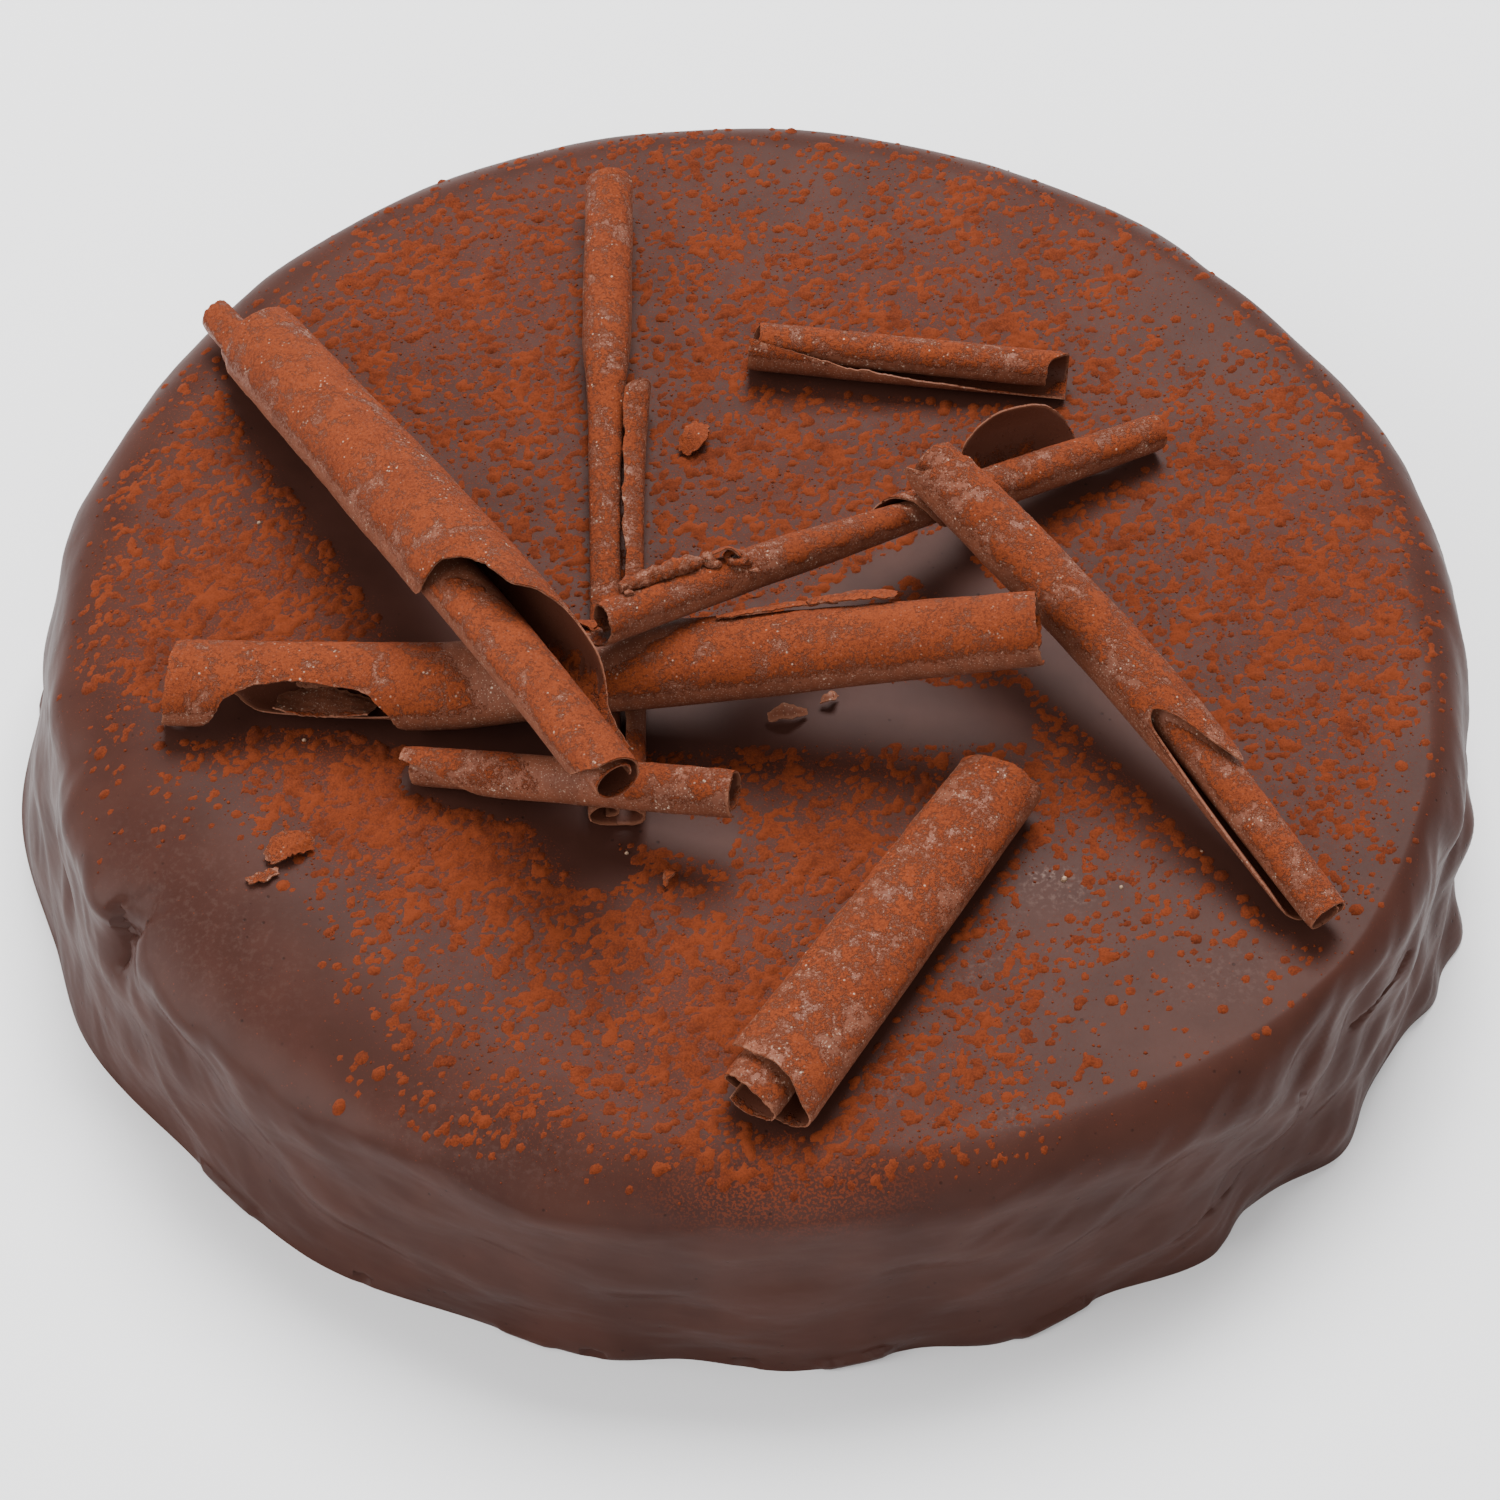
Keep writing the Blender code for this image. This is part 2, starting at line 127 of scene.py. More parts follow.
def crossed(down, across):
    """Two grids: the values that run down its rows, and those that run across its columns."""
    return np.meshgrid(down, across, indexing="ij")


def unit(vectors):
    """The same vectors with a length of 1."""
    return vectors / np.maximum(np.linalg.norm(vectors, axis=-1, keepdims=True), TINY)


def reach_of(knots):
    """How far along a chain of points each of them lies."""
    return np.concatenate([[0], np.cumsum(np.linalg.norm(np.diff(knots, axis=0), axis=1))])


def along_curve(places, knots, at):
    """Smooth curve through points in space that lie at given places along it."""
    return np.stack([through(np.stack([places, knots[:, k]], axis=1), at) for k in range(3)],
                    axis=-1)


print("halfway between 0 and 10:", through(((0, 0), (1, 10)), np.array([0.5])))

# %% [markdown]
# ## Unevenness
#
# Glaze sags, sheets tear and powder clumps, all at a few sizes at once. Random
# values on a cubic lattice with an eased blend between them give a smooth
# field, and adding finer and fainter copies makes it look natural. A seed keeps
# it the same on every run.

# %% Smooth random fields
LATTICE_VALUES = 8192
PRIMES = (73856093, 19349663, 83492791)


def cloudy(points, seed):
    """Smooth field from -1 to 1: lattice values, blended by an eased weight on each axis."""
    values = np.random.default_rng(seed).uniform(-1, 1, LATTICE_VALUES)
    cell = np.floor(points).astype(np.int64)
    part = points - cell
    ease = part * part * (3 - 2 * part)
    total = np.zeros(points.shape[:-1])
    for corner in np.ndindex(2, 2, 2):
        spot = cell + np.array(corner)
        key = spot[..., 0] * PRIMES[0] ^ spot[..., 1] * PRIMES[1] ^ spot[..., 2] * PRIMES[2]
        weight = np.prod(np.where(corner, ease, 1 - ease), axis=-1)
        total += values[key % LATTICE_VALUES] * weight
    return total


def uneven(points, size, seed, layers=3):
    """Sum of cloudy fields, each half the size and half the height of the one before."""
    total = sum(cloudy(points / size * 2 ** k, seed + k) / 2 ** k for k in range(layers))
    return total / sum(0.5 ** k for k in range(layers))


sample = uneven(np.random.default_rng(1).uniform(0, 90, (2000, 3)), 9.0, 4)
print("unevenness runs from", round(sample.min(), 2), "to", round(sample.max(), 2))

# %% [markdown]
# ## From arrays to a mesh
#
# Every piece is worked out as whole arrays and handed to Blender in one go.
# Faces may have three or four corners. Values that a material needs, such as
# how much cocoa lies at a point, are stored on the vertices by name.

# %% Mesh from arrays
def new_piece(name, points, faces, values=None, smooth_below=50):
    """Object from points and arrays of faces, with named values on its vertices."""
    corners = np.concatenate([part.ravel() for part in faces])
    sides = np.concatenate([np.full(len(part), part.shape[1]) for part in faces])
    starts = np.concatenate([[0], np.cumsum(sides)[:-1]])
    mesh = bpy.data.meshes.new(name)
    mesh.vertices.add(len(points))
    mesh.vertices.foreach_set("co", np.asarray(points, dtype=np.float32).ravel())
    mesh.loops.add(len(corners))
    mesh.loops.foreach_set("vertex_index", corners.astype(np.int32))
    mesh.polygons.add(len(sides))
    mesh.polygons.foreach_set("loop_start", starts.astype(np.int32))
    mesh.update(calc_edges=True)
    mesh.shade_smooth()
    if smooth_below:
        mesh.set_sharp_from_angle(angle=radians(smooth_below))
    for label, numbers in (values or {}).items():
        layer = mesh.attributes.new(label, "FLOAT", "POINT")
        layer.data.foreach_set("value", np.asarray(numbers, dtype=np.float32).ravel())
    piece = bpy.data.objects.new(name, mesh)
    bpy.context.scene.collection.objects.link(piece)
    print(f"{name}: {int((sides - 2).sum())} triangles")
    return piece


def grid_faces(rows, columns, wrap=False, ring=False):
    """Quads of a grid; wrap joins its last column to the first, and ring its last row."""
    index = np.arange(rows * columns).reshape(rows, columns)
    if wrap:
        index = np.concatenate([index, index[:, :1]], axis=1)
    if ring:
        index = np.concatenate([index, index[:1]])
    return np.stack([index[:-1, :-1], index[1:, :-1], index[1:, 1:], index[:-1, 1:]],
                    axis=-1).reshape(-1, 4)


# %% [markdown]
# ## The glazed cake
#
# A glazed cake has a flat top, a softly rounded rim and a side on which the
# glaze ran down, set in shallow waves and gathered in a wavy foot. One function
# of two numbers makes it: the direction, and a ring number that runs from the
# middle of the base up the side and over the rim to the middle of the top. The
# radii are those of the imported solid, and the fine waves are added to them.

# %% Radii of the cake
TOP = 42 * MM
RIM_DROP = 11 * MM
TOP_EDGE = ((0, 107), (60, 106), (120, 108), (180, 104), (197, 99), (215, 91), (233, 87),
            (246, 93), (258, 101), (277, 105), (300, 110), (322, 115), (340, 113))
WALL_EDGE = ((0, 118), (16, 118.4), (36, 116.5), (60, 117), (96, 119), (126, 120), (150, 118.8),
             (180, 118.4), (210, 118.6), (240, 117.8), (270, 117.5), (300, 119), (322, 120.4),
             (340, 119.4))
FOOT_EDGE = ((0, 122.5), (25, 121), (50, 122.2), (75, 121), (100, 122.4), (130, 122),
             (155, 123.5), (182, 125.2), (198, 123.6), (207, 125.2), (222, 122), (234, 122.8),
             (249, 119.8), (258, 120.8), (265, 118.8), (273, 120.6), (282, 119), (289, 121.6),
             (297, 120), (306, 123.2), (311, 120), (330, 120.8), (342, 122.6), (350, 120.8))
# Where glaze ran down and set: direction, half width (degrees), reach, height
FOOT_LOBES = ((320, 4.2, 4.0, 10), (336, 2.2, 1.6, 6), (342.5, 2.4, 1.6, 9),
              (187, 9, 1.6, 16), (62, 5, 1.8, 8), (128, 4, 1.5, 7), (20, 3.5, 1.4, 6))
# Dents: direction, height, half width (degrees), half height, depth
DENTS = ((194.8, 38, 2.6, 4, 2.6), (207, 33, 3.0, 5, -1.7), (211, 31, 2.2, 6, 2.4),
         (322, 30, 3.0, 8, 1.5), (330, 22, 3.2, 9, -1.3), (312, 24, 3.0, 8, -1.2),
         (345, 24, 3.2, 10, -1.2), (338, 30, 2.4, 9, 1.4), (36, 34, 5, 6, 1.2))
# Waves round the side: height, how many, radians of turn for each mm upwards, start
ROUND_WAVES = ((0.45, 13, 0.21, 0), (0.40, 21, -0.33, 1.3), (0.30, 8, 0.55, 4.0))


WALL_BEND = 0.8  # below 1 the wall leans out most near the foot


def cake_radius(degrees, height):
    """Radius in mm: a wall leaning out to a wavy foot, plus lobes, less dents."""
    part_up = np.clip(height / (TOP - RIM_DROP), 0, 1)
    wall = around(WALL_EDGE, degrees)
    foot = around(FOOT_EDGE, degrees)
    radius = foot + (wall - foot) * part_up ** WALL_BEND
    for centre, half, reach, high in FOOT_LOBES:
        away = turned_from(degrees, centre) / half
        radius = radius + reach * bump(away) * bump(height / MM / high)
    for centre, middle, half, half_high, depth in DENTS:
        away = turned_from(degrees, centre) / half
        radius = radius - depth * bump(away) * bump((height / MM - middle) / half_high)
    waves = sum(high * np.sin(radians(1) * degrees * count + height / MM * climb + start)
                for high, count, climb, start in ROUND_WAVES)
    return radius + waves * np.sin(pi * np.clip(height / TOP, 0, 1)) ** 0.5


print("foot is", round(2 * float(cake_radius(np.array([0.0]), 0)[0])), "mm across")

# %% [markdown]
# ## Waves, cracks and broken places in the glaze
#
# The side's waves are long and low, and they lie level at the front, run down
# to the right at the left, and climb at the right, as the glaze was pulled
# while it ran. So the field of waves is stretched along the side, and sheared
# by a slant that changes round the cake. Cracks are narrow grooves along short
# lines, and the broken place at the left is a hollow with a ragged border.

# %% Relief of the side
# Slope of the waves, and their height, by direction
SLANT = ((0, 0.25), (60, -0.1), (120, -0.35), (180, -0.45), (210, -0.95), (228, -0.75),
         (245, -0.2), (272, 0.0), (290, 0.3), (312, 0.6), (335, 0.6))
WAVE_HEIGHT = ((0, 0.9), (40, 0.8), (90, 0.6), (150, 0.7), (190, 0.7), (215, 0.8), (240, 0.6),
               (270, 0.55), (292, 0.8), (312, 1.25), (335, 1.3))
# Cracks: points (direction, height), half width, depth
CRACKS = ((((329.8, 29.5), (328.0, 27.8), (326.0, 27.6), (322.4, 25.5)), 0.35, 0.9),
          (((314.6, 27.5), (314.9, 24.0), (315.3, 19.0)), 0.4, 0.7),
          (((303.0, 9.5), (305.5, 11.0), (309.0, 11.6), (311.0, 13.5)), 0.3, 0.5),
          (((212.2, 41.2), (212.4, 39.8), (212.3, 38.0)), 0.5, 1.2),
          (((208.6, 38.5), (208.9, 34.5), (209.9, 30.0), (211.0, 27.5), (210.9, 24.8)), 0.5, 1.3))
# Broken places: direction, height, half width (degrees), half height, depth
BROKEN = ((210.6, 34.5, 1.7, 4.6, 1.5), (195.4, 39.8, 0.8, 1.3, 1.4),
          (239.2, 1.0, 0.7, 1.2, 0.9), (257.8, 0.8, 0.9, 1.1, 0.8), (269.4, 0.6, 1.0, 1.0, 0.8))
# Thin skirts where glaze pooled on the table: direction, half width, height, reach
SKIRTS = ((277.5, 3.4, 2.6, 1.0), (293.0, 4.0, 2.4, 1.1), (252.5, 3.0, 2.0, 0.7),
          (226.0, 4.0, 2.2, 0.8), (170.0, 6.0, 2.4, 0.8), (100.0, 5.0, 2.4, 0.8))
USUAL_RADIUS = 120
AROUND_MM = USUAL_RADIUS * radians(1)
# The relief: how height is stretched, which flattens the waves; then sizes in mm; then shares
SQUEEZED, FINE_SQUEEZED = 2.9, 0.6
WAVE_MM, CREST_MM, FINE_MM = 19.0, 24.0, 5.0
WAVE_SHARE, CREST_SHARE, FINE_SHARE = 1.15, 0.30, 0.10
MEAN_CREST = 0.4
CALM_FOOT, CALM_ENDS = 0.4, (1.0, 6.0)


def along_slant(degrees):
    """How far the waves have climbed at a direction: the slope summed, less its mean."""
    fine = np.arange(0, 360.5, 0.5)
    climb = np.cumsum(around(SLANT, fine)) * 0.5 * AROUND_MM
    climb = climb - climb[-1] * fine / 360
    return np.interp(degrees % 360, fine, climb)


def near_line(degrees, height_mm, line):
    """Distance in mm, on the unrolled side, to a line of (direction, height) points."""
    spot = np.stack([degrees * AROUND_MM, height_mm], axis=-1)
    best = np.full(degrees.shape, 1e3)
    for a, b in zip(line[:-1], line[1:]):
        a = np.array([a[0] * AROUND_MM, a[1]])
        b = np.array([b[0] * AROUND_MM, b[1]])
        t = np.clip(((spot - a) @ (b - a)) / ((b - a) @ (b - a)), 0, 1)
        best = np.minimum(best, np.linalg.norm(spot - a - t[..., None] * (b - a), axis=-1))
    return best


def side_relief(degrees, height):
    """Fine relief in mm: slanted waves with sharper crests, skirts, cracks and hollows."""
    height_mm = height / MM
    turn = np.radians(degrees)
    climbed = height_mm - along_slant(degrees)
    place = np.stack([USUAL_RADIUS * np.cos(turn), USUAL_RADIUS * np.sin(turn),
                      climbed * SQUEEZED], axis=-1)
    soft = uneven(place, WAVE_MM, 11)
    crest = 1 - 2 * np.abs(uneven(place, CREST_MM, 21, layers=2))
    fine = uneven(place * np.array([1, 1, FINE_SQUEEZED]), FINE_MM, 31, layers=2)
    waves = WAVE_SHARE * soft + CREST_SHARE * (crest - MEAN_CREST) + FINE_SHARE * fine
    grown = CALM_FOOT + (1 - CALM_FOOT) * eased(height_mm, *CALM_ENDS)
    relief = waves * around(WAVE_HEIGHT, degrees) * grown
    for centre, half, high, reach in SKIRTS:
        ragged = 1 + 0.4 * uneven(place, 4.0, 41, layers=2)
        pooled = eased(high * ragged - height_mm, 0, 0.8)
        relief += reach * pooled * eased(half - np.abs(turned_from(degrees, centre)), 0, 1.5)
    for line, half, depth in CRACKS:
        relief -= depth * bump(near_line(degrees, height_mm, line) / half)
    for centre, middle, half, half_high, depth in BROKEN:
        away = np.hypot(turned_from(degrees, centre) / half, (height_mm - middle) / half_high)
        relief -= depth * eased(1.15 + 0.35 * uneven(place, 1.8, 51, layers=2) - away, 0, 0.3)
    return relief


print("waves climb by up to", round(float(np.ptp(along_slant(np.arange(360.0)))), 1), "mm")

# %% [markdown]
# ## The cake's skin as one surface
#
# Steps round the cake lie closer together at the front, where the cracks are.
# The waves fade out over the rim, and the top has only a faint unevenness, with
# a shallow hollow where the long curl at the right presses into the glaze.

# %% Cake surface
AROUND_STEPS = 600
BASE_RINGS, WALL_RINGS, CURVE_RINGS, TOP_RINGS = 8, 62, 26, 34
# Hollows in the top: x, y, radius, depth
PRESSED = ((86.5, -64.5, 8.0, 0.35), (5.0, -101.0, 9.0, 0.25), (-84.0, 54.0, 9.0, 0.25))
PRESSED_RING = 0.12
INSET = 0.9974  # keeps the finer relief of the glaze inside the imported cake
# How the relief fades: over the rim, and at the foot
RIM_FADES = 0.8
FOOT_FADES, FOOT_RELIEF = 40, 0.15
SAG, SAG_MM, SAG_STARTS = 0.10, 26.0, 1.3
# Where the rings of the flat parts end: the top's on the way in, the base's as shares of the foot
TOP_MIDDLE, BASE_MIDDLE, BASE_EDGE = 0.985, 0.06, 0.99


def directions(steps):
    """Directions round the cake in degrees, twice as close together from 185 to 350."""
    fine = np.linspace(0, 360, 721)
    crowd = 1 + eased(fine, 175, 195) * (1 - eased(fine, 345, 359))
    reach = np.concatenate([[0], np.cumsum((crowd[1:] + crowd[:-1]) / 2)])
    return np.interp(np.arange(steps) / steps, reach / reach[-1], fine)


def skin_point(degrees, ring):
    """Point of the glaze: ring 0 to 1 climbs the wall, 1 to 2 the rim, 2 to 3 the top."""
    on_rim = np.clip(ring - 1, 0, 1) * pi / 2
    on_top = np.clip(ring - 2, 0, 1)
    height = np.clip(ring, 0, 1) * (TOP - RIM_DROP) + RIM_DROP * np.sin(on_rim)
    fade = np.cos(on_rim) ** RIM_FADES * np.clip(ring * FOOT_FADES + FOOT_RELIEF, 0, 1)
    wall = (cake_radius(degrees, height) + side_relief(degrees, height) * fade) * INSET
    flat = around(TOP_EDGE, degrees)
    radius = (flat + (wall - flat) * np.cos(on_rim)) * (1 - on_top)
    turn = np.radians(degrees)
    x, y = radius * np.cos(turn), radius * np.sin(turn)
    field = np.stack([x, y, np.zeros_like(x)], axis=-1)
    sag = SAG * uneven(field, SAG_MM, 61, layers=2) - 0.8 * SAG
    for px, py, wide, deep in PRESSED:
        away = np.hypot(x - px, y - py) / wide
        sag -= deep * bump(away) - PRESSED_RING * bump((away - 1.25) / 0.25)
    height = height + sag * MM * eased(ring, SAG_STARTS, 2.0)
    return np.stack([x * MM, y * MM, height], axis=-1)


rings = np.concatenate([np.linspace(0, 1, WALL_RINGS, endpoint=False),
                        1 + np.linspace(0, 1, CURVE_RINGS, endpoint=False),
                        2 + np.linspace(0, TOP_MIDDLE, TOP_RINGS)])
degrees_grid, ring_grid = np.meshgrid(directions(AROUND_STEPS), rings)
skin = skin_point(degrees_grid, ring_grid)
inwards = np.linspace(BASE_MIDDLE, BASE_EDGE, BASE_RINGS)[:, None, None]
base = skin[:1] * inwards * np.array([1, 1, 0])
cake_grid = np.concatenate([base, skin])
print("cake grid has", cake_grid.shape[0], "rings of", cake_grid.shape[1], "points")

# %% [markdown]
# ## Where cocoa can fall
#
# Cocoa is sieved from above, after the curls are in place, so it lies only
# where nothing is in the way: beside every curl there is a strip of bare glaze
# with a sharp border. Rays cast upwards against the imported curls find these
# strips. A few rays that lean a little make the border slightly soft, like
# powder that drifts as it falls.

# %% Rays up to the sky
curl_names = sorted(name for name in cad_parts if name.startswith("curl_"))


def tree_of(names):
    """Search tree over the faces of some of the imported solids."""
    points, faces = [], []
    for name in names:
        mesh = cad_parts[name].data
        first = len(points)
        points.extend(vertex.co[:] for vertex in mesh.vertices)
        faces.extend([first + k for k in polygon.vertices] for polygon in mesh.polygons)
    return BVHTree.FromPolygons(points, faces)


curl_tree = tree_of(curl_names)
LEANS = (Vector((0.05, 0.02, 1)), Vector((-0.06, 0.05, 1)), Vector((0.01, -0.07, 1)))


def open_to_sky(points, lift=0.4 * MM, leans=LEANS):
    """Share of the rays from each point that meet no curl on their way up."""
    start = np.asarray(points) + (0, 0, lift)
    seen = [sum(curl_tree.ray_cast(Vector(spot), lean)[0] is None for lean in leans)
            for spot in start.tolist()]
    return np.array(seen) / len(leans)


print("above the middle of the cake:", open_to_sky([(0.0, 0.01, TOP)]))

# %% [markdown]
# ## How much cocoa fell where
#
# The sieve was shaken unevenly: the powder lies thick in front of the low
# curls, round the lower end of the flat curl, along the back left and at the
# right, and it is thin on the front rim and bare at the front left. A few round
# patches, added to an even dusting, describe that.

# %% Amount of cocoa
# Patches on the top: x, y, radius, added share of the glaze that is covered
DUSTED = ((-72, 52, 32, 0.06), (-42, 74, 20, 0.04), (-84, -4, 20, 0.22), (-62, -41, 15, 0.36),
          (-42, -52, 11, 0.16), (-6, -84, 15, 0.26), (8, -101, 10, 0.18), (13, -50, 9, 0.30),
          (98, 2, 20, 0.14), (44, 26, 10, 0.10), (24, 66, 16, 0.06), (4, 24, 14, 0.10),
          (-88, -60, 18, -0.50), (-80, -88, 24, -0.60), (-103, -36, 12, -0.35),
          (72, -76, 22, -0.36), (46, -58, 7, -0.40), (56, -92, 16, -0.16), (84, 62, 20, -0.20),
          (8, 108, 20, -0.16), (-86, 84, 14, -0.20))
EVEN_DUSTING = 0.42
MOST_COVERED = 0.93
DUST_FADES, DUST_ENDS = 103.0, 119.5
DUSTED_RIM = 9 * MM


def cocoa_share(x, y):
    """Share of the glaze covered at (x, y) in mm: an even dusting plus round patches."""
    share = np.full(np.shape(x), EVEN_DUSTING)
    for px, py, wide, more in DUSTED:
        share = share + more * bump(np.hypot(x - px, y - py) / wide)
    fade = 1 - eased(np.hypot(x, y), DUST_FADES, DUST_ENDS)
    return np.clip(share, 0.0, MOST_COVERED) * fade


cake_points = cake_grid.reshape(-1, 3)
high_enough = cake_points[:, 2] > TOP - DUSTED_RIM
sky = np.zeros(len(cake_points))
sky[high_enough] = open_to_sky(cake_points[high_enough])
share = cocoa_share(cake_points[:, 0] / MM, cake_points[:, 1] / MM)
print("mean share under cocoa:", round(float((share * sky)[high_enough].mean()), 2))

# %% Glazed cake piece
CAKE_SMOOTH = 35
MIDDLE_SHARE = 0.3
cake_faces = grid_faces(*cake_grid.shape[:2], wrap=True)[:, ::-1]
steps = np.arange(AROUND_STEPS)
under, over = len(cake_points), len(cake_points) + 1
last_ring = len(cake_points) - AROUND_STEPS
base_fan = np.stack([np.full(AROUND_STEPS, under), np.roll(steps, -1), steps], axis=-1)
top_fan = np.stack([np.full(AROUND_STEPS, over), last_ring + steps,
                    last_ring + np.roll(steps, -1)], axis=-1)
middles = np.array([[0, 0, 0], [0, 0, cake_points[-1, 2]]])
cake = new_piece("glazed_cake", np.concatenate([cake_points, middles]),
                 [cake_faces, base_fan, top_fan],
                 {"sky": np.append(sky, [0, 1]), "share": np.append(share, [0, MIDDLE_SHARE])},
                 CAKE_SMOOTH)

# %% [markdown]
# ## Rolled sheets of chocolate
#
# A curl is a flat sheet that rolled up as it was shaved off. Its surface is
# again a function of two numbers, the place along the sheet and the place from
# its outer to its inner edge, which becomes a number of turns. Each turn is a
# circle inside the one before, and its middle moves towards the side where the
# layers lie on each other. The table gives every curl the line that it lies on,
# how tightly it rolled, and how its four edges tore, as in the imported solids.

# %% Table of curls
SHEET = 0.7 * MM
TOUCH = 0.35 * MM
CROWD = 1.5
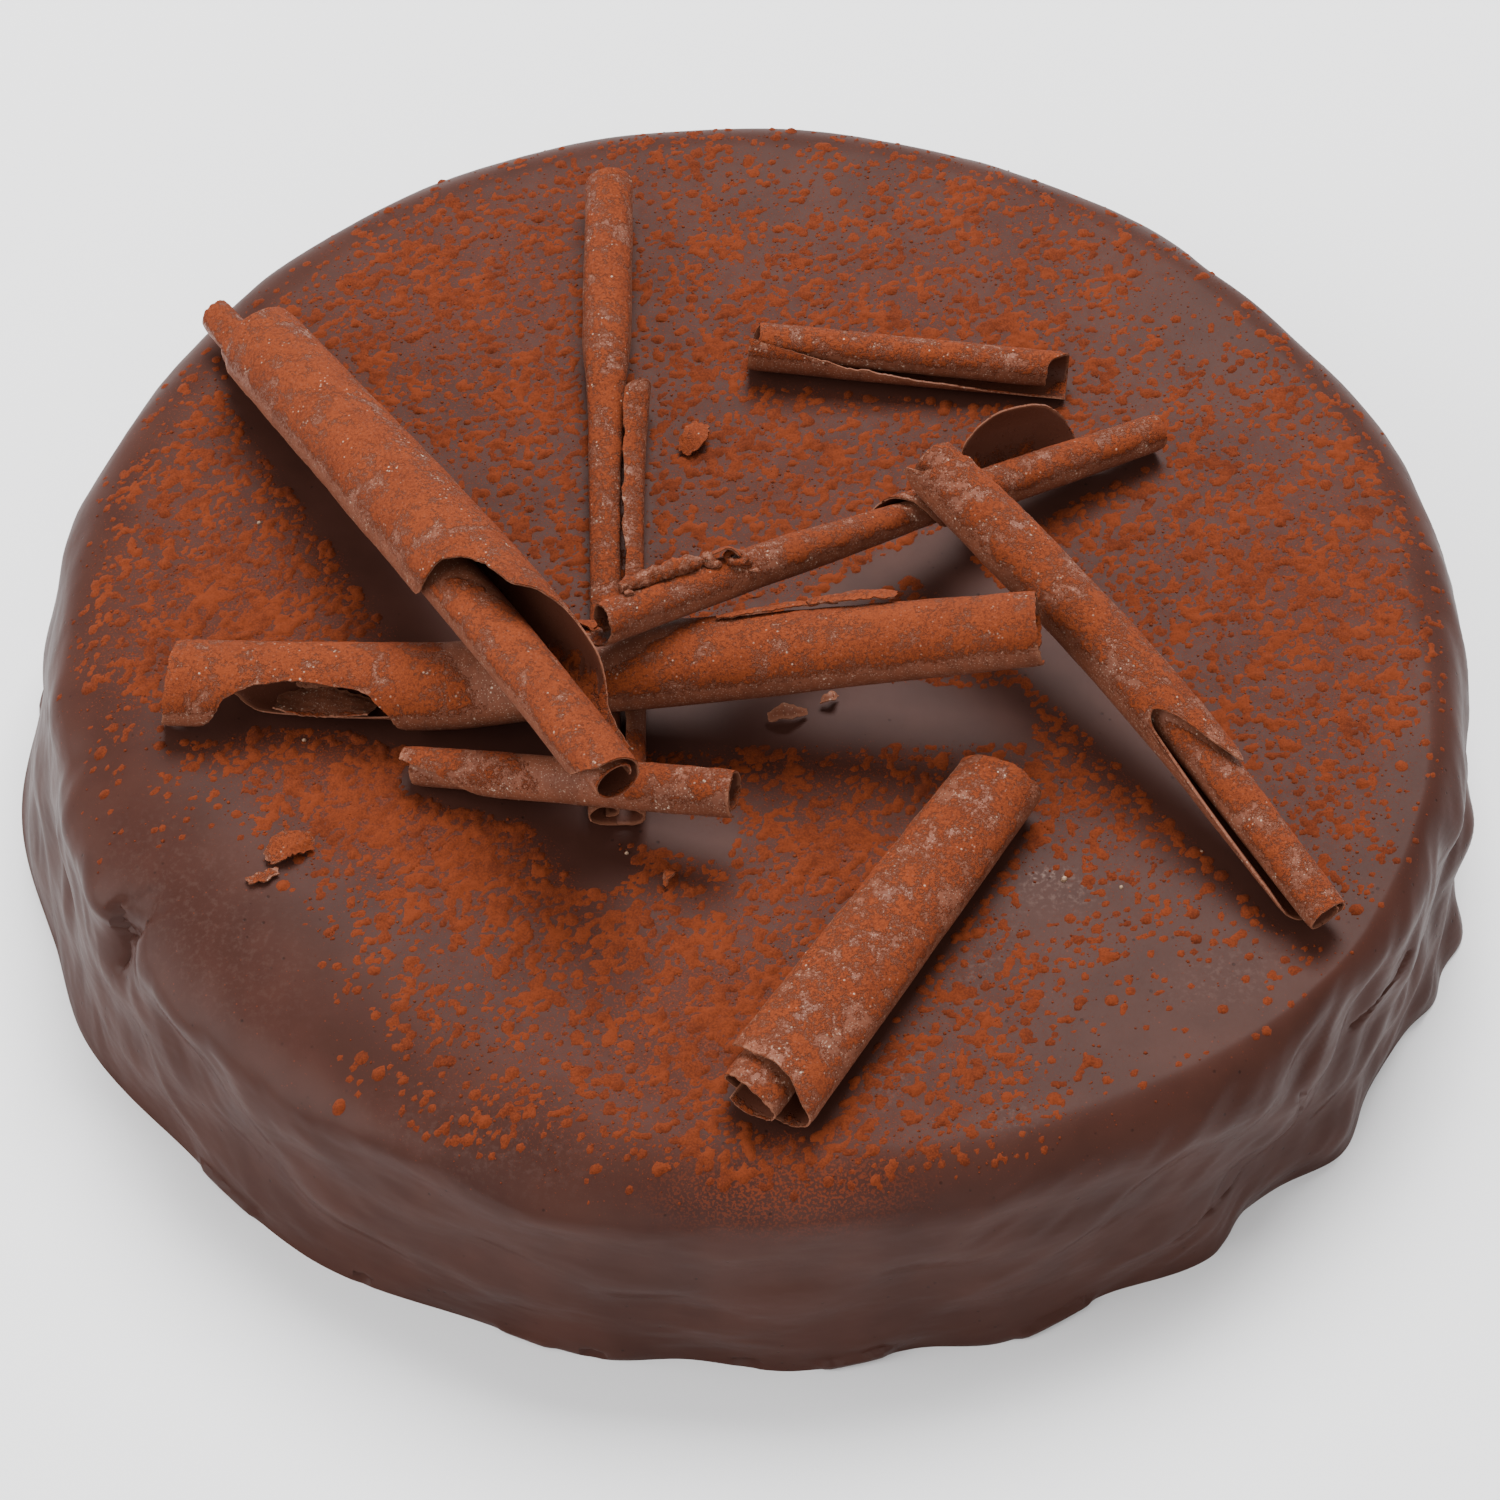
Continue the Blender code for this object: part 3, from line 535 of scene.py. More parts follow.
# Lines are x, y and height above the top; the other pairs are a place, or a number of turns,
# and a value there. `rolled` gives turns, radius, and the direction where the layers meet.
CURLS = {
    "curl_across_left": dict(
        line=((-92.7, 64.3, 4.9), (-39.8, -21.15, 23.3), (-19.9, -54.7, 27.8)),
        rolled=((0, 8.6, 0), (0.9, 7.6, 318), (1.3, 4.4, 318), (2.0, 3.5, 318),
                (2.3, 2.4, 150), (2.7, 1.9, 150)),
        hand=1, seam=-15,
        outer=((0, 0.02), (0.589, 0.0), (0.623, 0.04), (0.648, 0.2), (0.697, 0.28), (0.75, 0.31),
               (0.775, 0.37), (0.824, 0.47), (0.863, 0.51), (0.892, 0.58), (0.931, 0.66),
               (1, 0.68)),
        inner=((0, 2.6), (1, 2.6)),
        start=((0, 0.125), (0.5, 0.104), (0.95, 0.092), (1.6, 0.084), (2.0, 0.01), (2.7, 0.0)),
        end=((0.5, 0.94), (0.85, 0.94), (1.0, 0.965), (1.2, 1.0), (2.7, 1.0)),
        size=((0, 0.87), (0.35, 0.95), (0.7, 1.02), (1, 1.0)), squash=((0, 0.97), (1, 0.97)),
        rows=225, columns=190, cocoa=0.63),
    "curl_wide_cross": dict(
        line=((-95.8, -19.9, 5.3), (-52.6, -21.5, 6.5), (-25.1, -21.9, 11.7), (-1.9, -21.4, 14.1),
              (16.5, -21.5, 17.1), (44.9, -22.0, 22.0)),
        rolled=((0, 8.1, 0), (0.9, 7.4, 250), (1.4, 5.6, 250)),
        hand=1, seam=-62,
        outer=((0, 0.02), (0.038, 0.05), (0.072, 0.27), (0.112, 0.325), (0.158, 0.34),
               (0.214, 0.315), (0.25, 0.24), (0.272, 0.10), (0.288, 0.0), (1, 0.0)),
        inner=((0, 0.84), (0.05, 0.88), (0.09, 1.0), (0.14, 1.04), (0.22, 1.10), (0.3, 1.14),
               (1, 1.3)),
        start=((0, 0.0), (0.4, 0.01), (1.3, 0.03)), end=((0, 1.0), (1.3, 0.995)),
        size=((0, 1.0), (0.5, 1.0), (0.8, 0.86), (1, 0.76)),
        squash=((0, 0.72), (0.5, 0.76), (1, 0.97)),
        rows=260, columns=100, cocoa=0.62),
    "curl_slanting_slim": dict(
        line=((-26.0, -24.4, 24.9), (0.2, -7.0, 19.5), (19.5, 5.9, 13.9), (49.7, 25.1, 7.0),
              (67.7, 35.6, 3.9)),
        rolled=((-0.5, 11.5, 0), (-0.25, 8.0, 268), (-0.05, 4.6, 268), (0.0, 4.2, 268),
                (0.5, 3.9, 200), (1.0, 3.2, 200), (2.1, 1.68, 200)),
        hand=1, seam=270,
        outer=((0, 0.93), (0.44, 0.92), (0.50, 0.78), (0.54, 0.52), (0.575, 0.28), (0.61, 0.1),
               (0.66, -0.05), (0.69, -0.27), (0.74, -0.37), (0.80, -0.35), (0.86, -0.27),
               (0.90, -0.08), (0.94, 0.0), (1, 0.0)),
        inner=((0, 2.06), (0.46, 2.04), (0.6, 1.6), (1, 1.45)),
        start=((-0.4, 0.0), (0.95, 0.0), (1.3, 0.012), (2.1, 0.02)),
        end=((-0.4, 1.0), (1.6, 1.0)),
        size=((0, 1.40), (0.3, 1.36), (0.5, 1.08), (0.6, 0.94), (0.85, 0.84), (1, 0.76)),
        squash=((0, 1.0), (1, 1.0)),
        rows=230, columns=100, cocoa=0.50),
    "curl_right_long": dict(
        line=((27.6, 14.3, 21.2), (62.6, -29.0, 12.9), (88.4, -66.0, 4.3)),
        rolled=((0, 5.5, 0), (0.85, 4.8, 200), (1.2, 3.6, 200), (2.2, 2.5, 200)),
        hand=-1, seam=150,
        outer=((0, 0.06), (0.2, 0.02), (0.4, 0.0), (1, 0.0)),
        inner=((0, 2.0), (1, 2.0)),
        start=((0, 0.07), (0.1, 0.055), (0.22, 0.05), (0.31, 0.03), (0.38, 0.0), (0.44, 0.02),
               (0.7, 0.03), (1.0, 0.01), (2.0, 0.0)),
        end=((0, 0.70), (0.05, 0.73), (0.13, 0.69), (0.2, 0.62), (0.27, 0.585), (0.33, 0.60),
             (0.37, 0.68), (0.41, 0.82), (0.45, 0.94), (0.6, 0.97), (0.9, 1.0), (2.0, 1.0)),
        size=((0, 1.0), (0.5, 1.0), (1, 0.88)), squash=((0, 1.0), (1, 1.0)),
        rows=210, columns=120, cocoa=0.43),
    "curl_front_flat": dict(
        line=((39.6, -39.4, 5.25), (0.0, -102.0, 5.05)),
        rolled=((0, 9.2, 0), (0.9, 8.4, 335), (1.3, 4.8, 335), (2.0, 3.5, 335)),
        hand=1, seam=22,
        outer=((0, 0.0), (1, 0.0)), inner=((0, 1.9), (1, 1.9)),
        start=((0, 0.02), (0.3, 0.0), (1.9, 0.01)),
        end=((0, 0.91), (0.2, 0.925), (0.35, 0.965), (0.6, 0.97), (0.8, 0.96), (1.2, 0.99),
             (1.9, 1.0)),
        size=((0, 0.80), (1, 1.0)), squash=((0, 0.66), (1, 0.57)),
        rows=145, columns=150, cocoa=0.46),
    "curl_small_low": dict(
        line=((-56.4, -35.8, 3.0), (-43.9, -38.5, 5.2), (-21.4, -44.1, 9.7), (-3.3, -48.5, 13.1)),
        rolled=((0, 3.8, 0), (0.95, 3.1, 200), (1.3, 2.4, 200), (1.6, 2.0, 200)),
        hand=1, seam=-45,
        outer=((0, 0.33), (0.1, 0.25), (0.2, 0.1), (0.27, 0.0), (1, 0.0)),
        inner=((0, 1.5), (1, 1.5)),
        start=((0, 0.02), (0.4, 0.0), (0.9, 0.03), (1.5, 0.03)), end=((0, 1.0), (1.5, 0.99)),
        size=((0, 0.95), (1, 1.03)), squash=((0, 1.0), (1, 1.0)),
        rows=120, columns=66, cocoa=0.48),
    "curl_back_small": dict(
        line=((-1.4, 54.6, 4.65), (53.0, 47.6, 4.65)),
        rolled=((0, 4.4, 0), (0.65, 4.1, 150), (0.95, 3.0, 150), (2.0, 1.9, 150)),
        hand=-1, seam=62,
        outer=((0, 0.0), (0.3, 0.12), (0.6, 0.2), (0.9, 0.27), (1, 0.28)),
        inner=((0, 1.85), (1, 1.85)),
        start=((0, 0.01), (0.4, 0.0), (0.9, 0.03), (1.85, 0.04)),
        end=((0.2, 1.0), (0.75, 1.0), (1.0, 0.94), (1.85, 0.93)),
        size=((0, 1.0), (1, 1.0)), squash=((0, 1.0), (1, 1.0)),
        rows=115, columns=80, cocoa=0.54),
    "curl_back_slim": dict(
        line=((-25.6, 92.0, 5.9), (-25.2, 50.4, 5.7), (-25.2, 30.4, 3.7), (-24.6, -0.8, 2.9),
              (-23.8, -46.3, 2.9)),
        rolled=((0, 3.7, 0), (0.5, 3.5, 0), (1.0, 3.0, 0), (1.6, 2.2, 340)),
        hand=1, seam=92,
        outer=((0, 0.62), (0.31, 0.6), (0.335, 0.4), (0.35, 0.1), (0.365, 0.0), (1, 0.02)),
        inner=((0, 1.55), (1, 1.5)),
        start=((0, 0.0), (1.6, 0.0)), end=((0, 1.0), (1.6, 0.985)),
        size=((0, 1.72), (0.26, 1.72), (0.36, 1.28), (0.48, 1.08), (0.6, 1.0), (1, 1.0)),
        squash=((0, 0.98), (0.28, 0.98), (0.4, 0.76), (1, 0.74)),
        slide=(0.5, ((0, 2.2), (1, 2.8))),
        rows=250, columns=66, cocoa=0.56),
}
print(len(CURLS), "curls")

# %% [markdown]
# ## The roll as a function
#
# `middle_line` gives a point of the line and two directions across it. In
# `rolled_sheet` the first number runs along the curl and the second inwards.
# The torn edges get a ragged outline: the field of unevenness moves them by a
# fraction of a millimetre, more than that at the edge where the blade let go.

# %% Rolled sheet
RAGGED = 0.55
END_RAGGED = 0.8  # the torn ends, against the torn sides
WOBBLE = 0.13
FINE_STEPS = 600
SLIDE_BORDER = 0.08  # turns


def middle_line(line, place_along):
    """Point, side direction and up direction of a curl's middle line."""
    knots = np.array(line, dtype=float)
    reach = reach_of(knots) / reach_of(knots)[-1]
    small = 0.01
    ahead, behind = np.clip(place_along + small, 0, 1), np.clip(place_along - small, 0, 1)
    tangent = unit(along_curve(reach, knots, ahead) - along_curve(reach, knots, behind))
    side = unit(np.cross(tangent, (0, 0, 1)))
    return along_curve(reach, knots, place_along), side, np.cross(side, tangent)


def crowded(curl, along):
    """Row places 0 to 1, moved closer together where the outer edge is torn across."""
    fine = np.linspace(0, 1, 400)
    torn = np.abs(np.gradient(through(curl["outer"], fine), fine))
    reach = np.concatenate([[0], np.cumsum(1 + CROWD * (torn[1:] + torn[:-1]) / 2)])
    return np.interp(along, reach / reach[-1], fine)


def torn(place_mm, seed):
    """Ragged offset in mm along an edge: broad nibbles with fine splinters between."""
    spots = np.stack([place_mm, place_mm * 0 + 3.7, place_mm * 0 + 8.1], axis=-1)
    broad = uneven(spots, 4.2, seed)
    return RAGGED * (broad + 0.5 * np.abs(cloudy(spots / 0.9, seed + 9)))


def rolled_sheet(curl, along, inward, seed):
    """Points of a rolled sheet, and the place of each on the flat sheet, both in mm.

    Each turn inwards is a circle inside the one before.  As its radius shrinks
    its middle moves towards the side where the layers lie on each other, and
    every turn leaves room there for the sheet's thickness and some air.
    """
    keys = np.array(curl["rolled"])
    length = reach_of(np.array(curl["line"]))[-1]
    round_mm = 2 * pi * keys[:, 1].max()
    first, last = through(curl["outer"], along), through(curl["inner"], along)
    first = first + torn(along * length, seed) / round_mm
    turns = last * inward + first * (1 - inward) ** 2
    begin, finish = through(curl["start"], turns), through(curl["end"], turns)
    begin = begin + torn(turns * round_mm + 50, seed + 20) / length * END_RAGGED
    finish = finish + torn(turns * round_mm + 90, seed + 40) / length * END_RAGGED
    s = begin + (finish - begin) * along

    fine = np.linspace(keys[0, 0], keys[-1, 0], FINE_STEPS)
    narrowest = min(v for _, v in curl["size"]) * min(v for _, v in curl["squash"])
    layer = (SHEET + TOUCH) / MM / narrowest
    open_radius = np.minimum.accumulate(through(keys[:, :2], fine) + layer * fine)
    radius = open_radius - layer * fine
    lie = np.radians(keys[np.searchsorted(keys[:, 0], fine), 2])
    moved = -np.diff(open_radius, prepend=open_radius[0])
    shift_side, shift_up = np.cumsum(moved * np.cos(lie)), np.cumsum(moved * np.sin(lie))
    at_edge = np.searchsorted(fine, 0.0)
    shift_side = shift_side - shift_side[at_edge]
    shift_up = shift_up - shift_up[at_edge]

    angle = radians(curl["seam"]) + curl["hand"] * 2 * pi * turns
    size = through(curl["size"], s)
    flat = np.stack([s * length, turns * round_mm, np.zeros_like(s)], axis=-1)
    wobble = WOBBLE * uneven(flat, 11.0, seed + 60)
    r = np.interp(turns, fine, radius) + wobble
    sideways = size * (np.interp(turns, fine, shift_side) + r * np.cos(angle))
    upwards = size * (np.interp(turns, fine, shift_up) + r * np.sin(angle))
    if "slide" in curl:
        at_turn, stretch = curl["slide"]
        outside = 1 - np.clip((turns - at_turn) / SLIDE_BORDER + 0.5, 0, 1)
        sideways = sideways - through(stretch, s) * outside
    upwards = upwards * through(curl["squash"], s)
    middle, side, up = middle_line(curl["line"], s)
    point = middle + side * sideways[..., None] + up * upwards[..., None]
    return point, flat


# %% [markdown]
# ## Giving a sheet its thickness
#
# A shaved sheet is about half a millimetre thick and thins out towards its torn
# edges. The two skins lie half the thickness to either side of the sheet, and a
# band of faces closes the edge. The vertices get how much cocoa lies there, how
# far the torn edge is, whether the skin is the block's pale outer face or the
# blade's smooth one, and the place on the sheet as it was before it rolled up.

# %% Closed piece from a sheet
THIN_EDGE = 0.45
EDGE_WIDTH = 1.6
NEAR_CURL = 0.7 * MM  # rays that look for the sky start this far above a curl's own skin
HOLDS_FROM, HOLDS_WELL = 0.08, 0.62  # how far up a skin faces where cocoa begins to hold
PATCH_MM, CLOT_MM = 3.0, 1.25
PATCH_SHARE, CLOT_SHARE = 0.50, 0.55


def skins(points_mm, thickness_mm):
    """Both skins of a sheet, their normals, closing faces, and the distance to the edge."""
    down, across = np.gradient(points_mm, axis=0), np.gradient(points_mm, axis=1)
    normal = unit(np.cross(down, across))
    rows, columns = points_mm.shape[:2]
    step_down = np.linalg.norm(down, axis=-1)
    step_across = np.linalg.norm(across, axis=-1)
    row, column = np.mgrid[0:rows, 0:columns]
    to_edge = np.minimum(np.minimum(row, rows - 1 - row) * step_down,
                         np.minimum(column, columns - 1 - column) * step_across)
    thins = THIN_EDGE + (1 - THIN_EDGE) * eased(to_edge, 0, EDGE_WIDTH)
    half = thickness_mm / 2 * thins[..., None]
    both = np.concatenate([(points_mm + normal * half).reshape(-1, 3),
                           (points_mm - normal * half).reshape(-1, 3)])
    index = np.arange(rows * columns).reshape(rows, columns)
    outside = grid_faces(rows, columns)
    edge = np.concatenate([index[0, :-1], index[:-1, -1], index[-1, :0:-1], index[:0:-1, 0]])
    after = np.roll(edge, -1)
    other = rows * columns
    band = np.stack([edge, after, after + other, edge + other], axis=-1)
    faces = np.concatenate([outside, outside[:, ::-1] + other, band])
    normals = np.concatenate([normal.reshape(-1, 3), -normal.reshape(-1, 3)])
    return both, normals, faces, np.tile(to_edge.ravel(), 2)


def dusting(points_mm, normals, amount, seed):
    """Cocoa from 0 to 1: open to the sky, facing up, and in patches a few mm wide."""
    facing = eased(normals[:, 2], HOLDS_FROM, HOLDS_WELL)
    falls = np.zeros(len(points_mm))
    up = facing > 0
    falls[up] = open_to_sky(points_mm[up] * MM, NEAR_CURL, LEANS[:3])
    patches = PATCH_SHARE * uneven(points_mm, PATCH_MM, seed, layers=2)
    clots = CLOT_SHARE * uneven(points_mm, CLOT_MM, seed + 3, layers=2)
    return np.clip(amount + patches + clots, 0, 1) * facing * falls


def sheet_values(points_mm, cocoa, edge=0.5, outer=1.0, flat=None):
    """Values that the finish of shaved chocolate reads; a small bit has its plan as its sheet."""
    every = np.ones(len(points_mm))
    flat = points_mm if flat is None else flat
    return {"cocoa": cocoa, "edge": edge * every, "outer": outer * every,
            "sheet_x": flat[:, 0], "sheet_y": flat[:, 1]}


# %% Make the eight curls
COCOA_THICK = 0.16
VISIBLE_SHEET = 0.58
CURL_SEED, CURL_SEED_STEP = 100, 7
pieces = {}


def curl_piece(name, curl, seed):
    """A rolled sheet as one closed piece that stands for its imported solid."""
    part = 1.0
    rows, columns = int(curl["rows"] * part), int(curl["columns"] * part)
    along, inward = crossed(np.linspace(0, 1, rows), np.linspace(0, 1, columns))
    points, flat = rolled_sheet(curl, crowded(curl, along), inward, seed)
    points = points + np.array([0, 0, TOP / MM])
    both, normals, faces, to_edge = skins(points, VISIBLE_SHEET)
    cocoa = dusting(both, normals, curl["cocoa"], seed + 80)
    both = both + normals * (cocoa * COCOA_THICK)[:, None]
    first_skin = np.arange(len(both)) < len(both) // 2
    outer = first_skin == (curl["hand"] > 0)
    values = sheet_values(both, cocoa, to_edge, outer, np.tile(flat.reshape(-1, 3), (2, 1)))
    return new_piece("shaved_" + name, both * MM, [faces], values)


for number, (name, curl) in enumerate(CURLS.items()):
    pieces[name] = curl_piece(name, curl, CURL_SEED + CURL_SEED_STEP * number)

# %% [markdown]
# ## Splinters, shards and flakes
#
# Shaving leaves small broken bits: a ragged seam along the top of the wide curl,
# a crumbled roll on the slanting one, chips inside the torn window, and flakes
# on the glaze. Each is a short strip of the same sheet with ragged edges. Its
# table gives a line on the plan and a height to look down from. A ray finds what
# lies below, so the strip rests on it and takes its slope.

# %% Strips
STRIP_STEP = 0.32
STRIP_SHEET = 0.6
STRIP_RAGGED = 0.7
STRIP_WAVES = 0.22
NARROWEST = 0.3
STRIP_SEED, STRIP_SEED_STEP = 400, 11
DOWN = Vector((0, 0, -1))
bed_tree = tree_of([*curl_names, "cake"])


def bed_below(spots, look_from):
    """Points and normals, in mm, of what lies below (x, y) spots; heights are above the top."""
    hits = [bed_tree.ray_cast(Vector((x * MM, y * MM, TOP + look_from * MM)), DOWN)
            for x, y in spots]
    points = np.array([hit[0][:] for hit in hits]) / MM
    return points, np.array([hit[1][:] for hit in hits])


def strip(name, seed, spots, look_from, lift, widths, bend, lean, cocoa):
    """A strip of sheet that rests on its bed, its middle line raised by `lift` mm.

    The line runs through the spots. Across it the strip is an arc, `bend` mm in
    radius and leant by `lean` degrees from the bed, and its width and its ends
    are moved by a ragged field.
    """
    bed, normals = bed_below(spots, look_from)
    knots = bed + normals * np.array(lift)[:, None]
    length = reach_of(knots)[-1]
    reach = reach_of(knots) / length
    widest = max(w for _, w in widths)
    step = STRIP_STEP * 1
    rows, columns = max(8, int(length / step)), max(8, int(widest / step))
    s, t = crossed(np.linspace(0, 1, rows), np.linspace(-0.5, 0.5, columns))
    spot = np.stack([s * length, np.sign(t) * 3, s * 0], axis=-1)
    nibbled = STRIP_RAGGED * (uneven(spot, 1.7, seed) + 0.7 * cloudy(spot / 0.6, seed + 1))
    width = np.maximum(through(widths, s) + nibbled, NARROWEST)
    end_spot = np.stack([t * widest, s * 0, s * 0 + 2.2], axis=-1)
    pulled = STRIP_RAGGED / length * (uneven(end_spot, 1.3, seed + 2) - 0.4)
    along = np.clip(s + (s - 0.5) * 2 * pulled, 0, 1)
    small = 0.02
    ahead, behind = np.clip(along + small, 0, 1), np.clip(along - small, 0, 1)
    tangent = unit(along_curve(reach, knots, ahead) - along_curve(reach, knots, behind))
    side = unit(np.cross(tangent, along_curve(reach, normals, along)))
    up = np.cross(side, tangent)
    turn = t * width / bend
    across, rise = bend * np.sin(turn), -bend * (1 - np.cos(turn))
    flat = np.stack([s * length, t * width, s * 0], axis=-1)
    rise = rise + STRIP_WAVES * uneven(flat, 1.9, seed + 3)
    leant = np.radians(through(lean, s))
    sideways = across * np.cos(leant) - rise * np.sin(leant)
    upwards = across * np.sin(leant) + rise * np.cos(leant)
    middle = along_curve(reach, knots, along)
    points = middle + side * sideways[..., None] + up * upwards[..., None]
    both, normals, faces, to_edge = skins(points, STRIP_SHEET)
    dust = dusting(both, normals, cocoa, seed + 4)
    return new_piece(name, both * MM, [faces], sheet_values(both, dust, to_edge))


# name: spots, height looked down from, lift at each spot, widths, bend radius, lean, cocoa
STRIPS = {
    "seam_edge": (((-6.4, -18.4), (0.5, -17.6), (7.4, -16.6), (13.0, -16.4)), 90,
                  (0.6, 1.0, 1.1, 0.8), ((0, 1.0), (0.2, 1.9), (0.8, 2.1), (1, 1.2)), 7.0,
                  ((0, -6), (1, -8)), 0.66),
    "seam_splinter": (((8.0, -16.6), (13.0, -16.8), (18.0, -16.9), (22.6, -17.0)), 90,
                      (1.3, 1.7, 1.9, 1.4), ((0, 2.0), (0.3, 3.0), (0.9, 3.4), (1, 2.6)), 8.0,
                      ((0, -8), (1, -10)), 0.66),
    "slab_behind": (((-18.2, -17.0), (-13.0, -14.0), (-8.6, -11.4)), 90, (1.5, 1.7, 1.2),
                    ((0, 1.8), (0.5, 2.6), (1, 2.2)), 9.0, ((0, 14), (1, 10)), 0.60),
    "flake_on_slim": (((-7.4, -10.8), (-4.6, -9.6), (-2.4, -9.3)), 90, (1.4, 1.9, 0.9),
                      ((0, 2.4), (0.6, 3.6), (1, 3.0)), 12.0, ((0, 16), (1, 24)), 0.58),
    "chip_on_wide_curl": (((-31.0, -16.2), (-27.5, -16.6), (-24.6, -17.2)), 24, (0.7, 0.9, 0.7),
                          ((0, 5.5), (0.4, 6.4), (1, 5.5)), 14.0, ((0, 6), (1, 4)), 0.75),
    "window_sheet": (((-78.0, -22.4), (-70.0, -23.2), (-61.5, -25.2)), 8, (0.6, 0.8, 0.7),
                     ((0, 5.0), (0.3, 7.6), (1, 6.4)), -16.0, ((0, 4), (1, 6)), 0.42),
    "window_chip_right": (((-75.0, -18.0), (-71.5, -17.8), (-68.5, -18.2)), 8, (1.2, 1.6, 1.2),
                          ((0, 2.2), (0.4, 2.8), (1, 2.0)), 9.0, ((0, 12), (1, 20)), 0.10),
    "flake_front_left": (((-77.4, -52.6), (-74.0, -50.2), (-70.2, -48.6)), 60,
                         (0.75, 1.1, 0.8), ((0, 2.6), (0.35, 4.4), (0.7, 3.9), (1, 2.6)), -20.0,
                         ((0, -6), (1, 5)), 0.60),
    "flake_front_left_tip": (((-80.2, -56.6), (-77.6, -55.6), (-75.2, -54.4)), 60, (0.5, 0.8, 0.6),
                             ((0, 1.4), (0.5, 2.0), (1, 1.3)), -9.0, ((0, 5), (1, -5)), 0.45),
    "flake_back": (((-12.4, 32.8), (-10.6, 36.2), (-9.2, 39.8)), 60, (0.7, 1.1, 0.8),
                   ((0, 2.4), (0.4, 4.4), (0.8, 3.6), (1, 2.2)), -18.0, ((0, 5), (1, -5)), 0.85),
    "shard_below": (((1.8, -23.8), (4.8, -23.3), (8.2, -22.4)), 5, (0.6, 1.0, 0.6),
                    ((0, 1.2), (0.4, 2.7), (1, 1.2)), -9.0, ((0, 10), (1, -10)), 0.0),
    "shard_below_small": (((10.5, -20.8), (11.8, -20.0), (12.9, -19.1)), 5, (0.5, 0.8, 0.5),
                          ((0, 0.9), (0.5, 1.9), (1, 0.9)), -6.0, ((0, 0), (1, 0)), 0.0),
    "splinter_by_end": (((-14.6, -57.6), (-13.6, -56.0), (-12.8, -54.4)), 5, (0.5, 0.7, 0.5),
                        ((0, 0.7), (0.5, 1.6), (1, 0.7)), -6.0, ((0, 0), (1, 0)), 0.5),
}
strips = {name: strip(name, STRIP_SEED + STRIP_SEED_STEP * number, *row)
          for number, (name, row) in enumerate(STRIPS.items())}

# %% [markdown]
# ## The crumbled roll and its lumps
#
# Near its open end a narrow strip has rolled up tightly on the slanting curl and
# crumbled. It is a log of uneven radius along a line, with its ends closed, so
# that it looks like packed shavings. The lumps beside it are balls whose radius
# follows the field of unevenness, and the one with a hole is a ring.

# %% Crumbled roll and lumps
# Roll: spots on the plan, and radius by place along it (mm)
ROLL_SPOTS = ((-21.4, -19.0), (-17.6, -16.9), (-13.4, -14.6), (-9.0, -12.2))
ROLL_RADIUS = ((0, 0.9), (0.1, 1.25), (0.5, 1.35), (0.8, 1.5), (0.93, 1.2), (1, 0.7))
# Lumps: x, y, lift above the bed, half sizes along x, y, z
LUMPS = ((-7.7, -11.0, 0.9, 1.3, 1.3, 1.1), (-6.6, -11.8, 0.6, 1.0, 0.8, 0.7),
         (-9.6, -11.6, 1.3, 1.2, 1.0, 0.8), (-1.6, -9.9, 0.5, 1.0, 0.8, 0.5),
         (-0.6, -10.8, 0.4, 0.9, 0.6, 0.4), (-20.2, -19.6, 0.4, 0.8, 0.6, 0.5))
# Ring: x, y, lift above the bed, radius, half thickness
RING_LUMP = (-3.3, -10.0, 1.0, 1.25, 0.62)
FROM_ABOVE = 90
POLE = 0.02  # the rings of a ball stop this angle short of its two ends
BALL_LUMPY, ROLL_LUMPY, ROLL_GRAINY, RING_LUMPY = 0.50, 0.42, 0.16, 0.5
ROLL_LIFT = 0.9  # in radii: how high the middle of the roll lies above its bed
BALL_SEED, ROLL_SEED, RING_SEED = 720, 700, 740
ROLL_COCOA = 0.36


def turns_round(columns):
    """Equal steps round a full circle, in radians."""
    return np.arange(columns) / columns * 2 * pi


def lump_points(middle, sizes, seed, rows=14, columns=18):
    """Uneven ball: each direction times the half sizes, its radius changed by a field."""
    tip, turn = crossed(np.linspace(POLE, pi - POLE, rows), turns_round(columns))
    ray = np.stack([np.sin(tip) * np.cos(turn), np.sin(tip) * np.sin(turn), np.cos(tip)], axis=-1)
    radius = 1 + BALL_LUMPY * uneven(ray + seed, 0.8, seed)
    return np.array(middle) + ray * radius[..., None] * np.array(sizes)


def log_points(spots, look_from, radii, seed, rows=64, columns=26):
    """Uneven log on its bed: rings round a line, with the radius changed by a field."""
    bed, normals = bed_below(spots, look_from)
    reach = reach_of(bed)
    number = np.arange(len(bed))
    s, turn = crossed(np.linspace(0, 1, rows), turns_round(columns))
    middle = along_curve(number, bed, through(np.stack([reach / reach[-1], number], axis=1), s))
    tangent = unit(np.gradient(middle, axis=0))
    side = unit(np.cross(tangent, normals.mean(axis=0)))
    up = np.cross(side, tangent)
    field = np.stack([s * reach[-1], 1.3 * np.cos(turn), 1.3 * np.sin(turn)], axis=-1)
    usual = through(radii, s)
    lumpy = ROLL_LUMPY * uneven(field, 1.6, seed) + ROLL_GRAINY * cloudy(field / 0.5, seed + 5)
    radius = usual * (1 + lumpy)
    lifted = middle + up * (usual * ROLL_LIFT)[..., None]
    spoke = side * np.cos(turn)[..., None] - up * np.sin(turn)[..., None]
    return lifted + spoke * radius[..., None]


